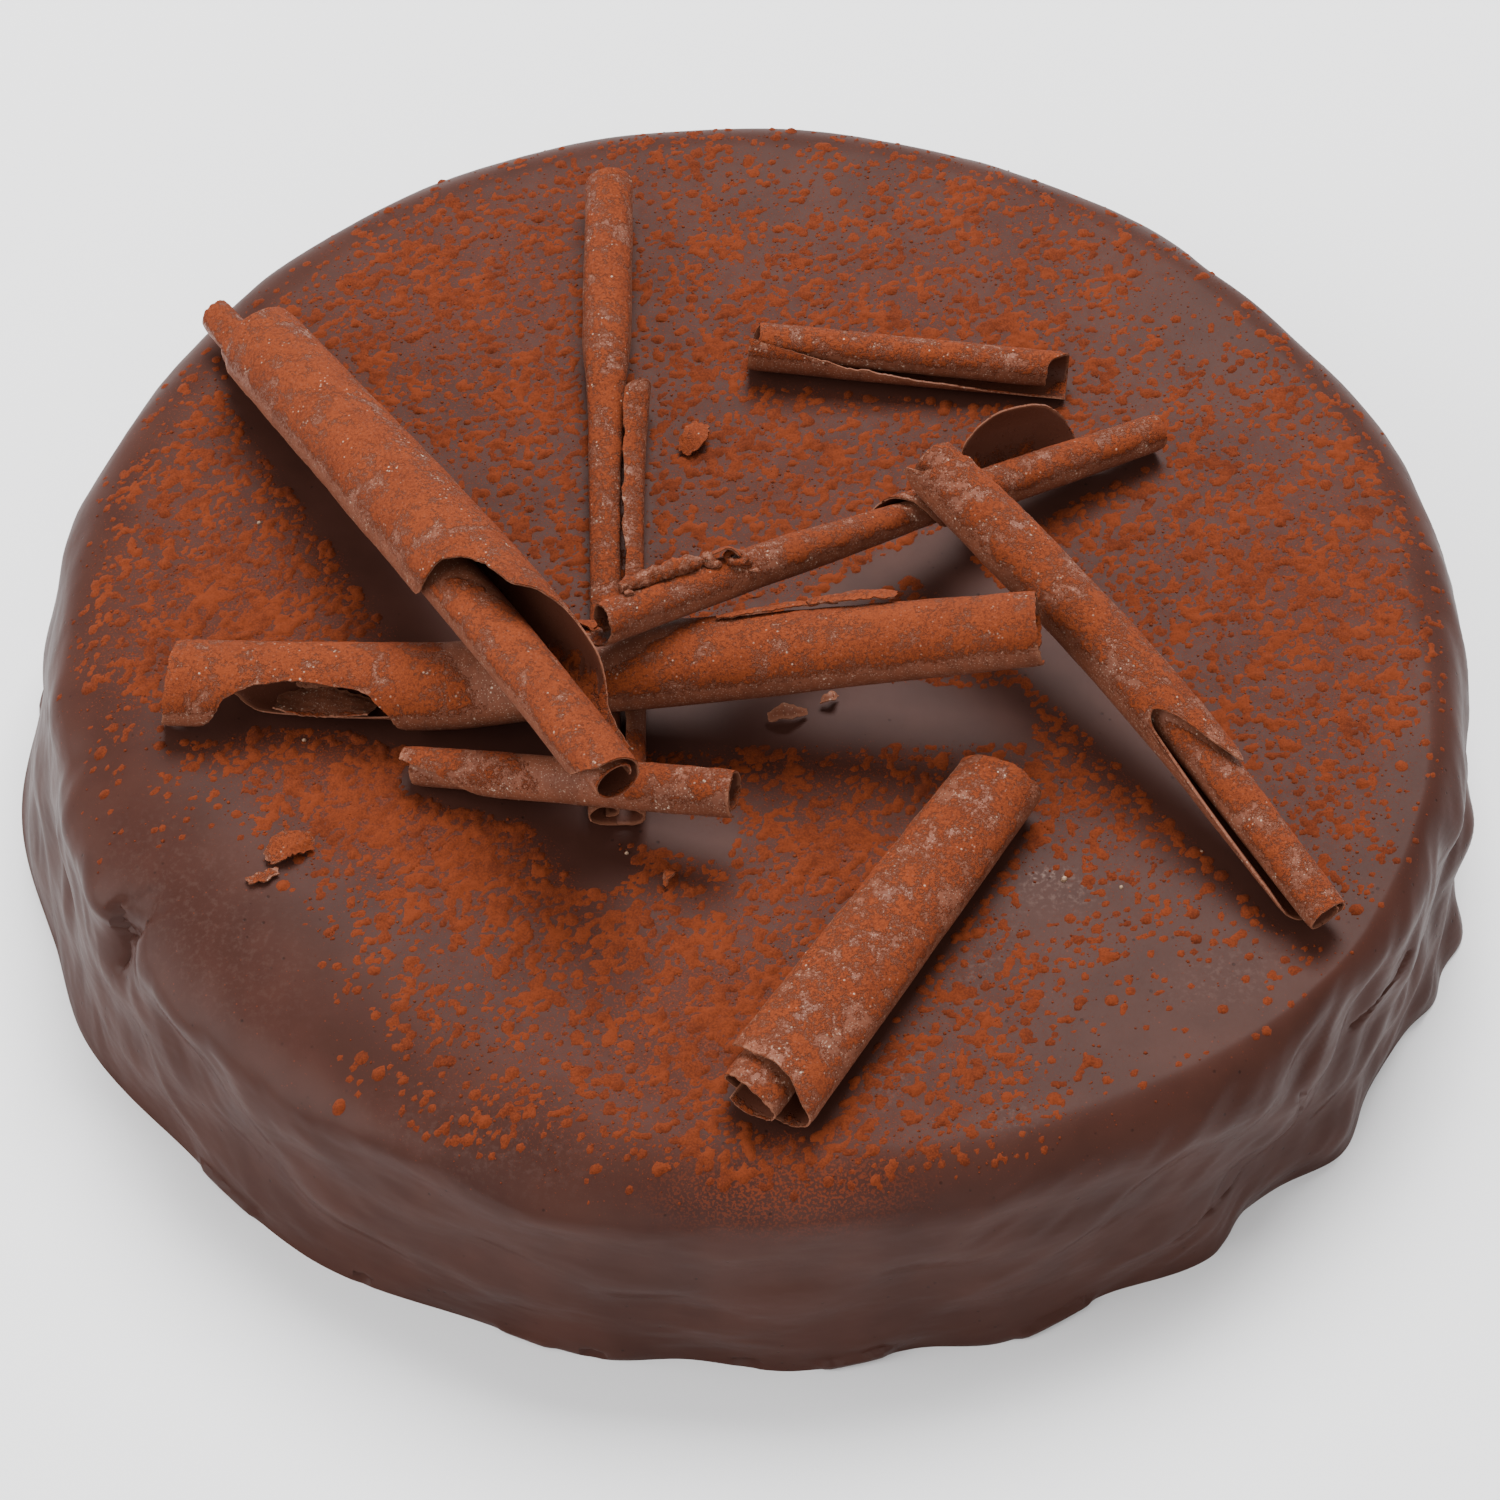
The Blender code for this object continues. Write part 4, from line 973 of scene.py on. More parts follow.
def closed_ball(points, first):
    """Points and faces of a ball given by rings of points, with a fan over each end ring."""
    rows, columns = points.shape[:2]
    body = grid_faces(rows, columns, wrap=True)
    top, bottom = rows * columns, rows * columns + 1
    k = np.arange(columns)
    after = np.roll(k, -1)
    fan_top = np.stack([np.full(columns, top), k, after], axis=-1)
    last = (rows - 1) * columns
    fan_bottom = np.stack([np.full(columns, bottom), last + after, last + k], axis=-1)
    ends = np.stack([points[0].mean(axis=0), points[-1].mean(axis=0)])
    faces = [part + first for part in (body, fan_top, fan_bottom)]
    return np.concatenate([points.reshape(-1, 3), ends]), faces


def joined_balls(name, balls, amount, seed):
    """One piece from several closed balls, dusted from above."""
    all_points, quads, fans = [], [], []
    first = 0
    for ball in balls:
        points, (body, top, bottom) = closed_ball(ball, first)
        all_points.append(points)
        quads.append(body)
        fans.extend([top, bottom])
        first += len(points)
    points = np.concatenate(all_points)
    values = sheet_values(points, np.clip(amount + 0.7 * uneven(points, 1.6, seed), 0, 1))
    return new_piece(name, points * MM, [np.concatenate(quads), np.concatenate(fans)], values)


def ring_points(x, y, z, radius, thick, seed, rows=26, columns=12):
    """Uneven ring lying flat: a small circle carried round a large one."""
    turn, tip = crossed(turns_round(rows), turns_round(columns))
    spot = np.stack([np.cos(turn), np.sin(turn), 0.7 * np.sin(tip)], axis=-1)
    around_ring = thick * (1 + RING_LUMPY * uneven(spot * 2 + 5, 0.9, seed, layers=2))
    reach = radius * (1 + 0.15 * np.cos(2 * turn + 0.6)) + around_ring * np.cos(tip)
    return np.stack([x + reach * np.cos(turn), y + reach * np.sin(turn),
                     z + around_ring * np.sin(tip)], axis=-1)


lump_bed, _ = bed_below([lump[:2] for lump in LUMPS], FROM_ABOVE)
balls = [lump_points(bed + np.array([0, 0, lump[2]]), lump[3:], BALL_SEED + k)
         for k, (bed, lump) in enumerate(zip(lump_bed, LUMPS))]
balls.append(log_points(ROLL_SPOTS, FROM_ABOVE, ROLL_RADIUS, ROLL_SEED))
strips["crumbled_roll"] = joined_balls("crumbled_roll", balls, ROLL_COCOA, ROLL_SEED + 45)
ring_x, ring_y, ring_lift, *ring_sizes = RING_LUMP
ring_bed, _ = bed_below([(ring_x, ring_y)], FROM_ABOVE)
ring_grid = ring_points(ring_x, ring_y, ring_bed[0][2] + ring_lift, *ring_sizes, RING_SEED)
ring_flat = ring_grid.reshape(-1, 3)
ring_cocoa = 0.5 + 0.6 * uneven(ring_flat, 1.4, RING_SEED + 1)
strips["crumbled_ring"] = new_piece("crumbled_ring", ring_flat * MM,
                                    [grid_faces(*ring_grid.shape[:2], wrap=True, ring=True)],
                                    sheet_values(ring_flat, ring_cocoa))

# %% [markdown]
# ## Cocoa on the glaze
#
# Seen close, sieved cocoa is a low, soft layer: round clumps a millimetre or two
# across, which touch and run together into islands, with fine grains between.
# A sheet of points half a millimetre apart can follow that. Every clump adds a
# low dome to the sheet and the highest dome wins, so clumps merge as powder does.
# Away from the clumps the sheet dives under the glaze, and only the cells near
# an island are kept. Clumps that a curl would have shielded are left out.

# %% Where the clumps lie
surface_tree = BVHTree.FromPolygons([tuple(p) for p in cake_points.tolist()],
                                    [tuple(f) for f in cake_faces.tolist()])
MOST_CLUMPS = 3.0
CLUMP_SEED, GRAIN_SEED, CRUMB_SEED = 901, 902, 31
COVERS = 1.00  # square mm of glaze that one clump stands for
SPREAD = 122
# Drifts of cocoa: how strongly they change the share, its limit, their sizes and strengths
CONTRAST = 0.5
THICKEST = 0.95
CLOUD_MM, PUFF_MM = 7.5, 2.0
CLOUD_SHARE, PUFF_SHARE = 0.7, 0.5
STEEP, LEVEL = 0.66, 0.90  # how far up the glaze faces where no, and where all, cocoa holds


def on_glaze(x, y):
    """Place and normal of the glaze below each (x, y) in mm, and whether there is any."""
    hits = [surface_tree.ray_cast(Vector((px * MM, py * MM, 0.1)), DOWN)
            for px, py in zip(x.tolist(), y.tolist())]
    found = np.array([hit[0] is not None for hit in hits])
    places = np.array([hit[0][:] if hit[0] else (0, 0, 0) for hit in hits])
    normals = np.array([hit[1][:] if hit[0] else (0, 0, 1) for hit in hits])
    return places, normals, found


def scattered(most, seed):
    """Spots (x, y) in mm, at most so many per square mm, and as dense as the cocoa should be.

    Clumps thrown at random cover 1 - exp(-n a) of the ground, where n is their
    number per square mm and a the area of one, so n is -log(1 - share) / a.
    """
    draw = np.random.default_rng(seed)
    count = int(most * pi * SPREAD ** 2)
    turn, reach = draw.uniform(0, 2 * pi, count), SPREAD * np.sqrt(draw.uniform(0, 1, count))
    x, y = reach * np.cos(turn), reach * np.sin(turn)
    spot = np.stack([x, y, x * 0], axis=-1)
    clouds = (CLOUD_SHARE * uneven(spot, CLOUD_MM, seed)
              + PUFF_SHARE * uneven(spot, PUFF_MM, seed + 5, layers=1))
    share_here = cocoa_share(x, y)
    local = np.clip(share_here + CONTRAST * clouds * np.minimum(1, share_here * 3), 0, THICKEST)
    keep = draw.uniform(0, 1, count) < -np.log(1 - local) / COVERS / most
    return x[keep], y[keep], draw


def settled(x, y, draw):
    """Those spots that lie on glaze not too steep and open to the sky, with their normals."""
    places, normals, found = on_glaze(x, y)
    keep = found & (normals[:, 2] > draw.uniform(STEEP, LEVEL, len(x)))
    keep[keep] = open_to_sky(places[keep], leans=LEANS[:1]) > 0
    return x[keep], y[keep], places[keep] / MM, normals[keep]


clump_x, clump_y, clump_draw = scattered(MOST_CLUMPS, CLUMP_SEED)
clump_x, clump_y, _, _ = settled(clump_x, clump_y, clump_draw)
print(len(clump_x), "clumps of cocoa")

# %% Layer of merged clumps
PITCH = 0.47
REACH = 123.0
# How deep in the glaze the layer lies away from its clumps, and its lower skin (mm)
DIVE, BELOW = 0.12, 0.24
# Radius of a clump in mm: the usual one, how it varies, and its limits
CLUMP_RADIUS, CLUMP_VARIES, CLUMP_LIMITS = 0.50, 0.34, (0.32, 1.1)
# Height of a clump: the least, and what is added for each mm of radius, with its limits
CLUMP_LOWEST, CLUMP_STEEP, STEEP_VARIES = 0.10, 0.42, (0.5, 1.3)
GRAINY, GRAINY_SIZE, GRAINY_SEED = 0.06, 1.1, 77
ISLANDS = ("cocoa_right", "cocoa_back", "cocoa_left", "cocoa_front")


def layer_heights(x, y, draw):
    """Grid of heights in mm: at each point the highest of the domes h (1 - (d / r)^2)."""
    radius = np.clip(CLUMP_RADIUS * np.exp(draw.normal(0, CLUMP_VARIES, len(x))), *CLUMP_LIMITS)
    height = CLUMP_LOWEST + CLUMP_STEEP * radius * draw.uniform(*STEEP_VARIES, len(x))
    side = int(2 * REACH / PITCH) + 1
    heights = np.full((side, side), -DIVE)
    column, row = (np.rint((place + REACH) / PITCH).astype(int) for place in (x, y))
    steps_out = int(np.ceil((CLUMP_LIMITS[1] + 0.1) / PITCH))
    for down in range(-steps_out, steps_out + 1):
        for over in range(-steps_out, steps_out + 1):
            r, c = np.clip(row + down, 0, side - 1), np.clip(column + over, 0, side - 1)
            away = np.hypot(c * PITCH - REACH - x, r * PITCH - REACH - y)
            np.maximum.at(heights, (r, c), height * (1 - (away / radius) ** 2))
    return heights


def any_corner(marked):
    """Cells of a grid that have a marked point at one of their corners."""
    return marked[:-1, :-1] | marked[:-1, 1:] | marked[1:, :-1] | marked[1:, 1:]


def whole_corners(kept):
    """Cells kept, and a neighbour where two meet at a corner, so no edge is shared by four."""
    for _ in range(3):
        a, b, c, d = kept[:-1, :-1], kept[:-1, 1:], kept[1:, :-1], kept[1:, 1:]
        falling = a & d & ~b & ~c
        rising = b & c & ~a & ~d
        kept = kept.copy()
        kept[:-1, 1:] |= falling
        kept[:-1, :-1] |= rising
    return kept


def closed_layer(name, kept, top, bottom):
    """Piece from the kept cells of a grid: top and bottom skins, and walls where a cell ends."""
    index = np.arange(top[..., 0].size).reshape(top.shape[:2])
    lower = index.size
    corners = (index[:-1, :-1], index[:-1, 1:], index[1:, 1:], index[1:, :-1])
    above = np.stack([part[kept] for part in corners], axis=-1)
    faces = [above, above[:, ::-1] + lower]
    padded = np.pad(kept, 1)
    neighbours = (padded[:-2, 1:-1], padded[1:-1, 2:], padded[2:, 1:-1], padded[1:-1, :-2])
    for k, neighbour in enumerate(neighbours):
        open_side = kept & ~neighbour
        a, b = corners[k][open_side], corners[(k + 1) % 4][open_side]
        faces.append(np.stack([b, a, a + lower, b + lower], axis=-1))
    faces = np.concatenate(faces)
    used, packed = np.unique(faces, return_inverse=True)
    points = np.concatenate([top.reshape(-1, 3), bottom.reshape(-1, 3)])[used]
    return new_piece(name, points * MM, [packed.reshape(faces.shape)], smooth_below=0)


heights = layer_heights(clump_x, clump_y, clump_draw)
cells = whole_corners(any_corner(heights > 0))
touched = np.zeros(heights.shape, bool)
for down, over in ((0, 0), (0, 1), (1, 0), (1, 1)):
    touched[down:down + cells.shape[0], over:over + cells.shape[1]] |= cells
row, column = np.nonzero(touched)
grid_x, grid_y = column * PITCH - REACH, row * PITCH - REACH
grid_places, grid_normals, grid_found = on_glaze(grid_x, grid_y)
grid_places = grid_places / MM
grid_spots = np.stack([grid_x, grid_y, grid_x * 0], axis=-1)
grainy = GRAINY * uneven(grid_spots, GRAINY_SIZE, GRAINY_SEED, layers=1)
raised_by = heights[touched] + grainy * (heights[touched] > 0)
layer_top, layer_bottom = np.zeros((*heights.shape, 3)), np.zeros((*heights.shape, 3))
layer_top[touched] = grid_places + grid_normals * raised_by[:, None]
layer_bottom[touched] = grid_places - grid_normals * BELOW
lost = np.zeros(heights.shape, bool)
lost[row[~grid_found], column[~grid_found]] = True
cells &= ~any_corner(lost)
cell_y, cell_x = np.meshgrid(np.arange(cells.shape[0]) * PITCH - REACH,
                             np.arange(cells.shape[1]) * PITCH - REACH, indexing="ij")
sector = ((np.degrees(np.arctan2(cell_y, cell_x)) + 45) % 360 // 90).astype(int)
layers = [closed_layer(name, cells & (sector == k), layer_top, layer_bottom)
          for k, name in enumerate(ISLANDS)]
print("cocoa lies", round(float(heights.max()), 2), "mm high at most")

# %% Loose grains
MOST_GRAINS = 0.40
# Radius of a grain in mm: the usual one, how it varies, and its limits
GRAIN_RADIUS, GRAIN_VARIES, GRAIN_LIMITS = 0.18, 0.35, (0.10, 0.42)
GRAIN_SIDES, GRAIN_HEIGHT = 5, 0.5
RIM_UNEVEN, RIM_DEPTH, BOTTOM_DEPTH, SHOULDER = 0.26, 0.06, 0.10, 0.50


def domes(name, places, normals, radii, heights, sides, draw):
    """Low uneven domes as one mesh: a rim in the glaze, a shoulder ring, a top and a bottom."""
    count = len(places)
    turn = turns_round(sides)[None] + draw.uniform(0, 2 * pi, count)[:, None]
    uneven_rim = 1 + draw.uniform(-RIM_UNEVEN, RIM_UNEVEN, (count, sides))
    help_axis = np.where(np.abs(normals[:, :1]) < 0.9, [[1.0, 0, 0]], [[0, 1.0, 0]])
    first = unit(np.cross(normals, help_axis))
    second = np.cross(normals, first)
    spoke = first[:, None] * np.cos(turn)[..., None] + second[:, None] * np.sin(turn)[..., None]
    spoke = spoke * (radii[:, None] * uneven_rim)[..., None]
    up = normals[:, None]
    rim = places[:, None] + spoke - up * RIM_DEPTH
    crown = places[:, None] + spoke * SHOULDER + up * heights[:, None, None]
    bottom = places[:, None] - up * BOTTOM_DEPTH
    points = np.concatenate([rim, crown, bottom], axis=1)
    each = 2 * sides + 1
    k = np.arange(sides)
    after = np.roll(k, -1)
    ring_quads = np.stack([k, after, after + sides, k + sides], axis=-1)
    cap = (k + sides)[None]
    below = np.stack([after, k, np.full(sides, 2 * sides)], axis=-1)
    start = (np.arange(count) * each)[:, None, None]
    faces = [(part[None] + start).reshape(-1, part.shape[1]) for part in (ring_quads, cap, below)]
    return new_piece(name, points.reshape(-1, 3) * MM, faces, smooth_below=0)


grain_x, grain_y, grain_draw = scattered(MOST_GRAINS, GRAIN_SEED)
_, _, grain_places, grain_normals = settled(grain_x, grain_y, grain_draw)
varied = np.exp(grain_draw.normal(0, GRAIN_VARIES, len(grain_places)))
grain_radii = np.clip(GRAIN_RADIUS * varied, *GRAIN_LIMITS)
cocoa_grains = domes("cocoa_grains", grain_places, grain_normals, grain_radii,
                     GRAIN_HEIGHT * grain_radii, GRAIN_SIDES, grain_draw)

# %% [markdown]
# ## A few pale crumbs
#
# Tiny bits of lighter chocolate have dropped from the curls onto the glaze.

# %% Pale crumbs
# Crumbs on the top: x, y, size
CRUMBS = ((-83.5, 18.0, 0.45), (-73.0, -28.0, 0.4), (48.5, -55.5, 0.6), (57.5, -57.0, 0.4),
          (-40.5, 1.8, 0.45), (-37.5, 5.0, 0.35), (60.0, 38.0, 0.35), (17.0, -97.0, 0.35),
          (30.0, -62.0, 0.35), (-20.5, -50.5, 0.4), (-62.0, -30.0, 0.35), (70.5, -50.0, 0.35))
CRUMB_SIDES, CRUMB_HEIGHT = 6, 0.9
crumb_x, crumb_y, crumb_radii = np.array(CRUMBS).T
crumb_places, crumb_normals, _ = on_glaze(crumb_x, crumb_y)
pale_crumbs = domes("pale_crumbs", crumb_places / MM, crumb_normals, crumb_radii,
                    crumb_radii * CRUMB_HEIGHT, CRUMB_SIDES, np.random.default_rng(CRUMB_SEED))

# %% [markdown]
# ## Writing shader maths as plain sums
#
# A finish is a sum of fields: patches, specks, streaks. This small class wraps
# one output of a material's nodes, so that `1 - mask * 0.4` adds the Math nodes
# it stands for. `node` adds any other node: its type, its settings, and then
# the values or links of its sockets.

# %% Shader expressions
class Field:
    """One output in a material's node tree; sums and products of fields add Math nodes."""

    def __init__(self, tree, socket=None):
        self.tree = tree
        self.socket = socket

    def node(self, kind, settings=None, sockets=None, output=0):
        """Add a node, set its settings, then fill its sockets with values or fields."""
        made = self.tree.nodes.new(kind)
        for name, value in (settings or {}).items():
            setattr(made, name, value)
        for key, value in (sockets or {}).items():
            if isinstance(value, Field):
                self.tree.links.new(value.socket, made.inputs[key])
            else:
                made.inputs[key].default_value = value
        return Field(self.tree, made.outputs[output])

    def math(self, operation, a, b=0.0):
        return self.node("ShaderNodeMath", {"operation": operation}, {0: a, 1: b})

    def __add__(self, other):
        return self.math("ADD", self, other)

    def __radd__(self, other):
        return self.math("ADD", other, self)

    def __sub__(self, other):
        return self.math("SUBTRACT", self, other)

    def __rsub__(self, other):
        return self.math("SUBTRACT", other, self)

    def __mul__(self, other):
        return self.math("MULTIPLY", self, other)

    def steps(self, low, high):
        """0 below low, 1 above high, with an S-shaped step between."""
        return self.node("ShaderNodeMapRange", {"interpolation_type": "SMOOTHSTEP"},
                         {"Value": self, "From Min": low, "From Max": high})

    def over(self, colour, other):
        """Mix of two colours: this field is how much of the second shows."""
        return self.node("ShaderNodeMix", {"data_type": "RGBA"}, {0: self, 6: colour, 7: other}, 2)


def finish(name):
    """A new material, its Principled shader, and a Field to start expressions from."""
    made = bpy.data.materials.new(name)
    made.use_nodes = True
    shader = made.node_tree.nodes["Principled BSDF"]
    return made, shader, Field(made.node_tree)


def lead(shader, field, socket):
    """Link a field to one socket of a shader."""
    field.tree.links.new(field.socket, shader.inputs[socket])


def steady(shader, values):
    """Give some sockets of a shader a constant value each."""
    for socket, value in values.items():
        shader.inputs[socket].default_value = value


def position(start):
    """The point on the object, in metres."""
    return start.node("ShaderNodeTexCoord", output=3)


def noise(start, where, mm, detail=2.0, rough=0.55):
    """Smooth noise from 0 to 1 whose features are about mm across."""
    return start.node("ShaderNodeTexNoise", None, {"Vector": where, "Scale": 1000.0 / mm,
                                                   "Detail": detail, "Roughness": rough})


def dots(start, where, mm, low, high):
    """Random round dots about mm apart: 1 inside the low radius, 0 beyond the high one."""
    cells = start.node("ShaderNodeTexVoronoi", None, {"Vector": where, "Scale": 1000 / mm})
    return 1 - cells.steps(low, high)


def scaled(start, where, *scale):
    """The same place with its three coordinates scaled, which stretches a pattern."""
    return start.node("ShaderNodeMapping", None, {"Vector": where, "Scale": scale})


def stored(start, name):
    """A value that was stored on the vertices."""
    return start.node("ShaderNodeAttribute", {"attribute_name": name}, None, 2)


def raised(start, height, distance_mm, strength=1.0):
    """Bump from a height field of 0 to 1 that stands for distance_mm."""
    return start.node("ShaderNodeBump", None,
                      {"Height": height, "Distance": distance_mm * MM, "Strength": strength})


print("shader expressions are ready")

# %% [markdown]
# ## Glaze
#
# Set chocolate glaze is dark, purplish brown and satin: smooth at arm's length,
# with pinholes close up. Over the top lies cocoa too fine to be clumps, as dust
# and specks, thicker where the clumps are thick, and pale scuff marks where a curl
# was moved. Pale patches on the lower-left and front rim are painted sheen.

# %% Glaze finish
GLAZE = (0.046, 0.0168, 0.0118, 1)
GLAZE_DARK = (0.036, 0.0130, 0.0092, 1)
COCOA_RED = (0.132, 0.0262, 0.0088, 1)
COCOA_DEEP = (0.066, 0.0140, 0.0058, 1)
PINHOLE = (0.009, 0.004, 0.003, 1)
# Pale colour of the scuff marks, and of the painted sheen on the lower-left and front rim
PALE_SCUFF_AND_SHEEN = (0.150, 0.100, 0.084, 1)
# Scuffed places, then two patches of painted sheen on the lower-left and front rim: x, y, half
# width, half height, turn, strength
SCUFFS_AND_SHEEN = ((45.5, -54.5, 4.5, 1.6, 25, 1.0), (47.5, -57.5, 9, 6, 0, 0.55),
          (35, -72, 4, 14, -32, 0.40), (22, -92, 4, 12, -32, 0.45), (38, -100, 6, 4, 0, 0.35),
          (73, -74, 12, 7, 20, 0.25), (-88, -62, 15, 34, 38, 0.14), (-42, -103, 26, 10, -18, 0.16))
DRIFT = (4, -112, 24, 7, 2, 0.9)  # cocoa that slid over the front rim
PATCH_HEIGHT = 12 * MM
WALL_STARTS, WALL_ENDS = TOP - 8 * MM, TOP - 1 * MM


def soft_patch(start, where, patch):
    """Soft elliptical patch on the top, broken up by the noise it is multiplied with."""
    x, y, half_x, half_y, turn, strength = patch
    turned = start.node("ShaderNodeMapping", {"vector_type": "TEXTURE"},
                        {"Vector": where, "Location": (x * MM, y * MM, TOP),
                         "Rotation": (0, 0, radians(turn)),
                         "Scale": (half_x * MM, half_y * MM, PATCH_HEIGHT)})
    away = start.node("ShaderNodeVectorMath", {"operation": "LENGTH"}, {0: turned}, 1)
    return (1 - away.steps(0.2, 1.2)) * strength


glaze, shader, start = finish("chocolate_glaze")
where = position(start)
mottle = noise(start, where, 14, 3)
grain = noise(start, where, 0.7, 3, 0.65)
pins = dots(start, where, 2.3, 0.05, 0.16) * noise(start, where, 9, 1).steps(0.5, 0.62)
share_here = stored(start, "share")
sky_here = stored(start, "sky")
falling = share_here * sky_here
dust = (noise(start, where, 0.40, 2, 0.7) + falling * 0.30).steps(0.66, 0.82)
film = (noise(start, where, 2.2, 3) * 0.6 + falling).steps(0.55, 1.30) * 0.70
specks = dots(start, where, 1.3, 0.06, 0.15) * noise(start, where, 6, 1).steps(0.45, 0.6)
colour = mottle.steps(0.3, 0.7).over(GLAZE, GLAZE_DARK)
colour = (pins * 0.6).over(colour, PINHOLE)
scuffs_and_sheen = soft_patch(start, where, SCUFFS_AND_SHEEN[0])
for patch in SCUFFS_AND_SHEEN[1:]:
    scuffs_and_sheen = scuffs_and_sheen + soft_patch(start, where, patch)
# Pale: scuff marks near the flat front curl, and painted sheen on the lower-left and front rim
pale = scuffs_and_sheen * noise(start, where, 1.1, 4, 0.7).steps(0.47, 0.66)
colour = (pale * 0.62).over(colour, PALE_SCUFF_AND_SHEEN)
top_only = sky_here.steps(0.0, 0.6)
up = start.node("ShaderNodeSeparateXYZ", None, {0: where}, 2)
wall = 1 - up.steps(WALL_STARTS, WALL_ENDS)
colour = (film * top_only).over(colour, COCOA_DEEP)
colour = (dust * top_only * 0.70).over(colour, COCOA_RED)
colour = (specks * 0.5 * top_only).over(colour, COCOA_RED)
drifted = soft_patch(start, where, DRIFT) * noise(start, where, 0.45, 2).steps(0.46, 0.60)
colour = (drifted * 0.8).over(colour, COCOA_RED)
lead(shader, colour, "Base Color")
lead(shader, 0.44 + grain * 0.10 + dust * 0.35 + film * 0.6 + pale * 0.2, "Roughness")
lead(shader, wall * 0.17 + 0.02, "Coat Weight")
steady(shader, {"Coat Roughness": 0.26, "Coat IOR": 1.4, "Specular IOR Level": 0.05})
ripples = noise(start, scaled(start, where, 1.0, 1.0, 2.4), 11, 2, 0.45) * wall
height = grain * 0.03 + mottle * 0.03 + dust * 0.05 - pins * 0.09 + ripples * 1.1
lead(shader, raised(start, height, 1.0, 0.55), "Normal")
print("glaze has", len(glaze.node_tree.nodes), "nodes")

# %% [markdown]
# ## Shaved chocolate
#
# The curls are plain milk-brown chocolate with a dull, slightly waxy surface.
# Cocoa clings to what faced up while it was sieved, in patches with a fuzzy
# border, and rubbing has left pale specks and scratches, most on the crests.
# Their torn edges show lighter. The vertices know where cocoa lies and how near
# the edge is, and fine noise breaks both up.

# %% Shaved chocolate finish
SHAVED = (0.152, 0.0490, 0.0260, 1)
SHAVED_DARK = (0.112, 0.0365, 0.0198, 1)
INSIDE = (0.074, 0.0230, 0.0130, 1)
TORN_EDGE = (0.190, 0.074, 0.041, 1)
BLOOM = (0.400, 0.270, 0.190, 1)
SPECK = (0.600, 0.450, 0.340, 1)
POWDER = (0.180, 0.0355, 0.0096, 1)
POWDER_DEEP = (0.086, 0.0160, 0.0050, 1)

shaved, shader, start = finish("shaved_chocolate")
where = position(start)
sheet = start.node("ShaderNodeCombineXYZ", None, {0: stored(start, "sheet_x") * MM,
                                                  1: stored(start, "sheet_y") * MM})
streaks = noise(start, scaled(start, sheet, 1.0, 0.12, 1.0), 1.6, 3, 0.5)
tone = noise(start, where, 8, 3)
fine = noise(start, where, 0.55, 3, 0.7)
finer = noise(start, where, 0.22, 2, 0.7)
powder = (stored(start, "cocoa") + (fine - 0.5) * 1.5 + (finer - 0.5) * 0.8).steps(0.15, 0.62)
outer = stored(start, "outer")
near_edge = 1 - (stored(start, "edge") + (fine - 0.5) * 0.5).steps(0.15, 0.75)
rubbed = noise(start, where, 3.2, 3, 0.65).steps(0.55, 0.70)
bare = 1 - powder
specks = dots(start, where, 0.85, 0.12, 0.30) * (rubbed * 0.95 + 0.05) * outer
sprinkled = dots(start, where, 0.42, 0.13, 0.30) * bare * (rubbed * 0.40 + 0.40) * outer
scuff = rubbed * noise(start, where, 0.8, 3, 0.7).steps(0.42, 0.70) * outer
colour = (tone * 0.6 + streaks * 0.4).steps(0.35, 0.65).over(SHAVED, SHAVED_DARK)
colour = (1 - outer).over(colour, INSIDE)
colour = (scuff * 0.08).over(colour, BLOOM)
colour = (sprinkled * 0.62).over(colour, SPECK)
colour = (near_edge * 0.65).over(colour, TORN_EDGE)
powder_tone = (fine * 0.40 + finer * 0.40 + tone * 0.20).steps(0.38, 0.60)
powder_colour = powder_tone.over(POWDER_DEEP, POWDER)
colour = (powder * 0.92).over(colour, powder_colour)
colour = (specks * (0.55 + bare * 0.25)).over(colour, SPECK)
lead(shader, colour, "Base Color")
lead(shader, 0.50 + powder * 0.42 + scuff * 0.15, "Roughness")
steady(shader, {"Specular IOR Level": 0.12})
height = powder * (0.4 + fine * 0.8 + finer * 0.5) + streaks * 0.25 + specks * 0.3
lead(shader, raised(start, height, 0.26, 0.9), "Normal")
print("shaved chocolate has", len(shaved.node_tree.nodes), "nodes")

# %% [markdown]
# ## Cocoa and crumbs
#
# Cocoa powder is a dry orange brown that scatters light so well that it looks
# velvety: no gloss, lighter where it lies thin against the light. Its grain is
# far finer than a clump.

# %% Cocoa finish
SHEEN = (0.60, 0.22, 0.08, 1)
CRUMB_DARK = (0.19, 0.095, 0.055, 1)
CRUMB_PALE = (0.29, 0.19, 0.12, 1)

cocoa, shader, start = finish("cocoa_powder")
where = position(start)
grain = noise(start, where, 0.35, 3, 0.7)
drift = noise(start, where, 5.0, 2)
colour = (grain * 0.6 + drift * 0.4).steps(0.34, 0.62).over(COCOA_DEEP, COCOA_RED)
lead(shader, colour, "Base Color")
steady(shader, {"Roughness": 0.95, "Specular IOR Level": 0.07, "Sheen Weight": 0.05,
                "Sheen Roughness": 0.5, "Sheen Tint": SHEEN})
lead(shader, raised(start, grain, 0.14, 0.8), "Normal")

crumb, shader, start = finish("pale_crumb")
tone = noise(start, position(start), 0.4, 2)
lead(shader, tone.steps(0.3, 0.7).over(CRUMB_DARK, CRUMB_PALE), "Base Color")
steady(shader, {"Roughness": 0.7})
print("cocoa and crumbs have their finishes")
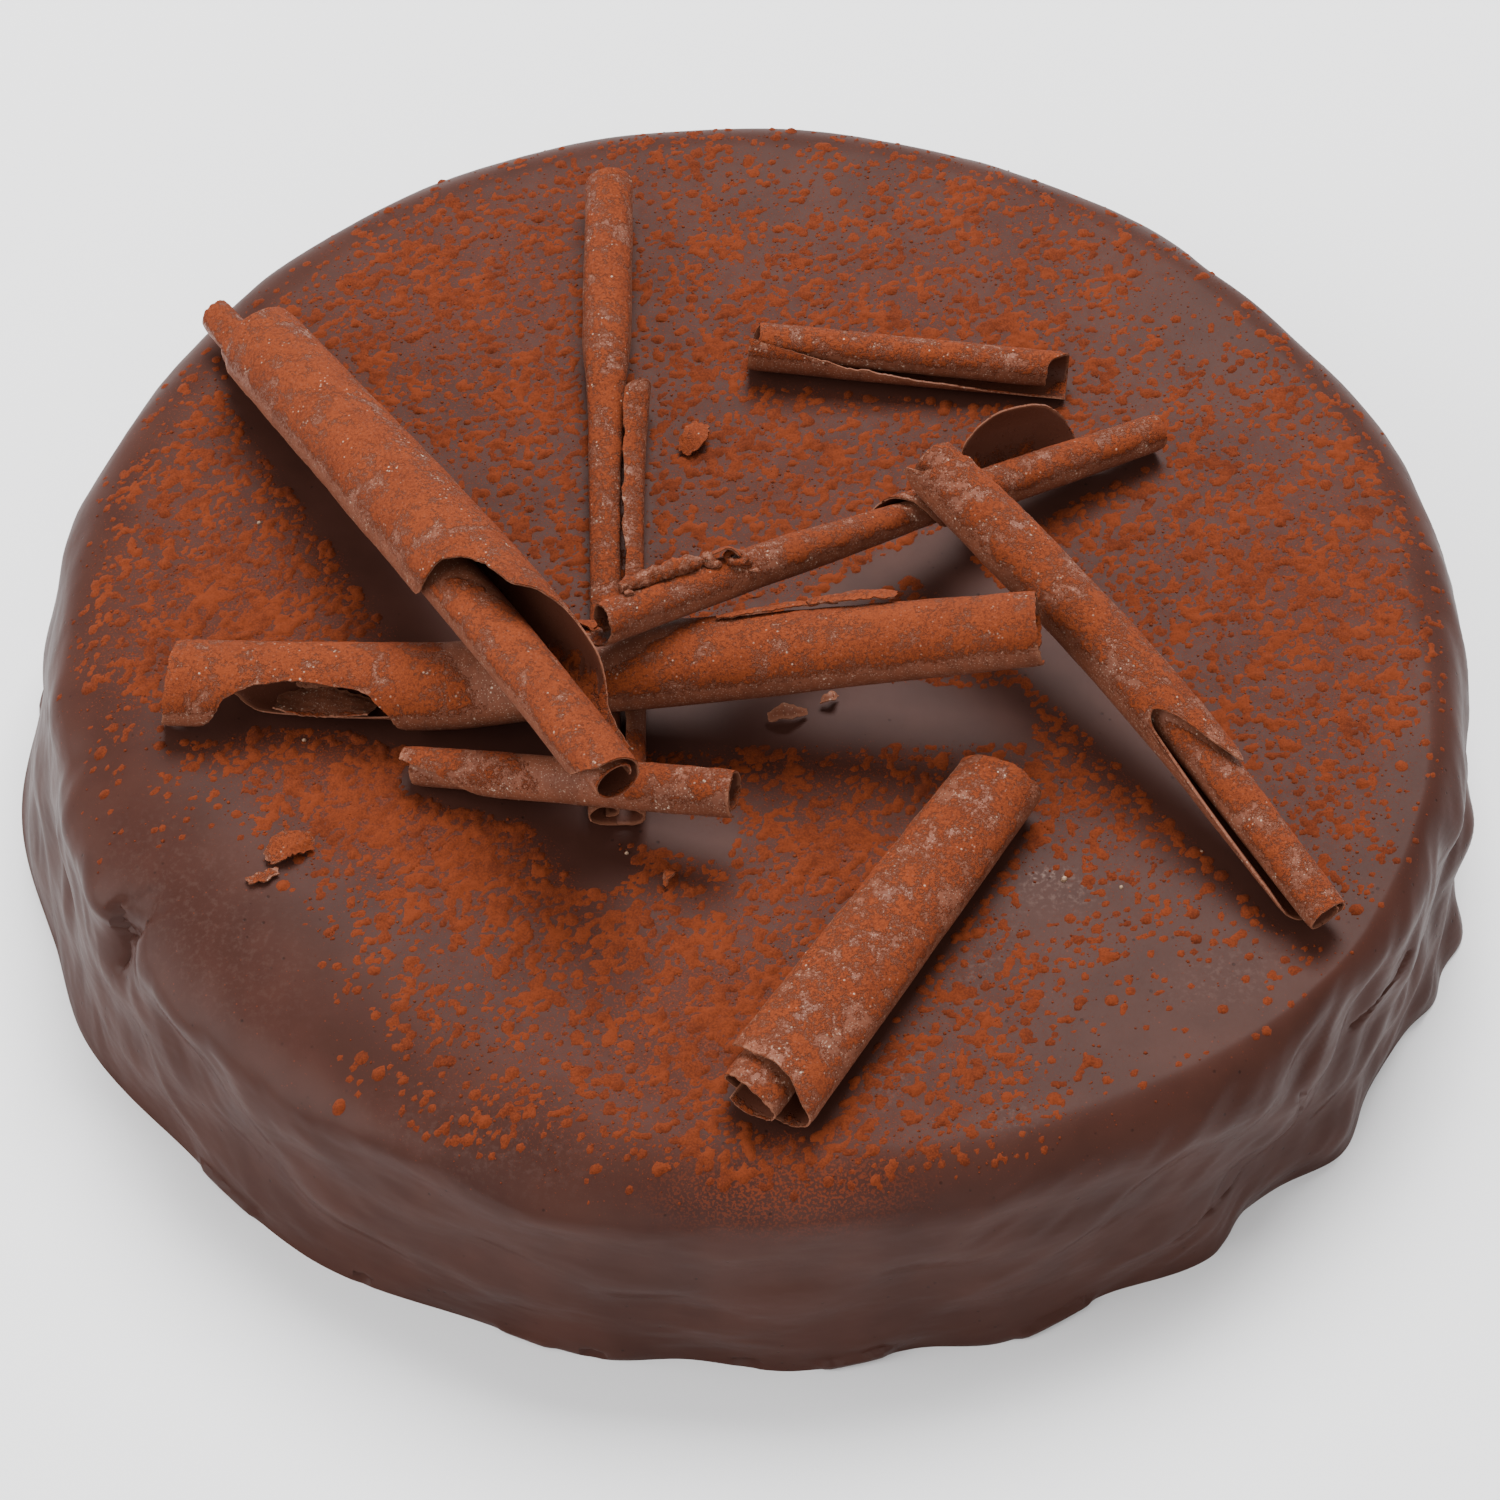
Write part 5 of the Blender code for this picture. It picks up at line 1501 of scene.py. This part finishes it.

# %% [markdown]
# ## Putting the pieces on the frame
#
# Every piece rides on the one body and stands for its imported solid. The cocoa
# and the broken bits have no solid of their own, as they are part of what they
# lie on.

# %% Ride and replace
def settle(piece, finish_of_piece, slot, *replaced):
    """Give a piece its finish, its body and the solids that it stands for; the slot is not used.
    """
    piece.data.materials.append(finish_of_piece)
    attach(piece, "root")
    if replaced:
        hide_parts(*replaced)


settle(cake, glaze, "glaze", "cake")
for name, piece in pieces.items():
    settle(piece, shaved, "shaved_chocolate", name)
for piece in strips.values():
    settle(piece, shaved, "shaved_chocolate")
for piece in (*layers, cocoa_grains):
    settle(piece, cocoa, "cocoa")
settle(pale_crumbs, crumb, "shaved_chocolate")

# %% [markdown]
# ## Floor and light
#
# The photograph has a white ground and broad, soft light from above and behind,
# so shadows fall a little towards the camera, and the side of the cake has a
# faint shine where it mirrors the white ground.

# %% Floor and light
FLOOR_HALF = 3.0
FLOOR_CORNERS = [(x * FLOOR_HALF, y * FLOOR_HALF, 0)
                 for x, y in ((-1, -1), (1, -1), (1, 1), (-1, 1))]
FLOOR_WHITE = (0.86, 0.86, 0.87, 1)
AIMED_AT = Vector((0, 0, 0.03))
SKY = 0.84

floor_mesh = bpy.data.meshes.new("floor")
floor_mesh.from_pydata(FLOOR_CORNERS, [], [(0, 1, 2, 3)])
floor = bpy.data.objects.new("floor", floor_mesh)
floor_finish, shader, _ = finish("pale_floor")
steady(shader, {"Base Color": FLOOR_WHITE, "Roughness": 0.7})
floor_mesh.materials.append(floor_finish)
bpy.context.scene.collection.objects.link(floor)


def area_light(name, place, size, watts):
    """A square lamp at a place, turned towards the cake."""
    data = bpy.data.lights.new(name, "AREA")
    data.energy = watts
    data.size = size
    lamp = bpy.data.objects.new(name, data)
    lamp.location = place
    lamp.rotation_euler = (AIMED_AT - Vector(place)).to_track_quat("-Z", "Y").to_euler()
    bpy.context.scene.collection.objects.link(lamp)


area_light("key_behind", (0.20, 1.25, 2.00), 1.3, 122)
area_light("fill_left", (-1.3, -0.3, 0.75), 1.2, 22)
area_light("fill_front", (0.2, -1.4, 0.8), 1.2, 8)
world = bpy.data.worlds.new("studio")
world.use_nodes = True
steady(world.node_tree.nodes["Background"], {"Color": (1, 1, 1, 1), "Strength": SKY})
bpy.context.scene.world = world
print("floor, three lamps and an even studio sky")
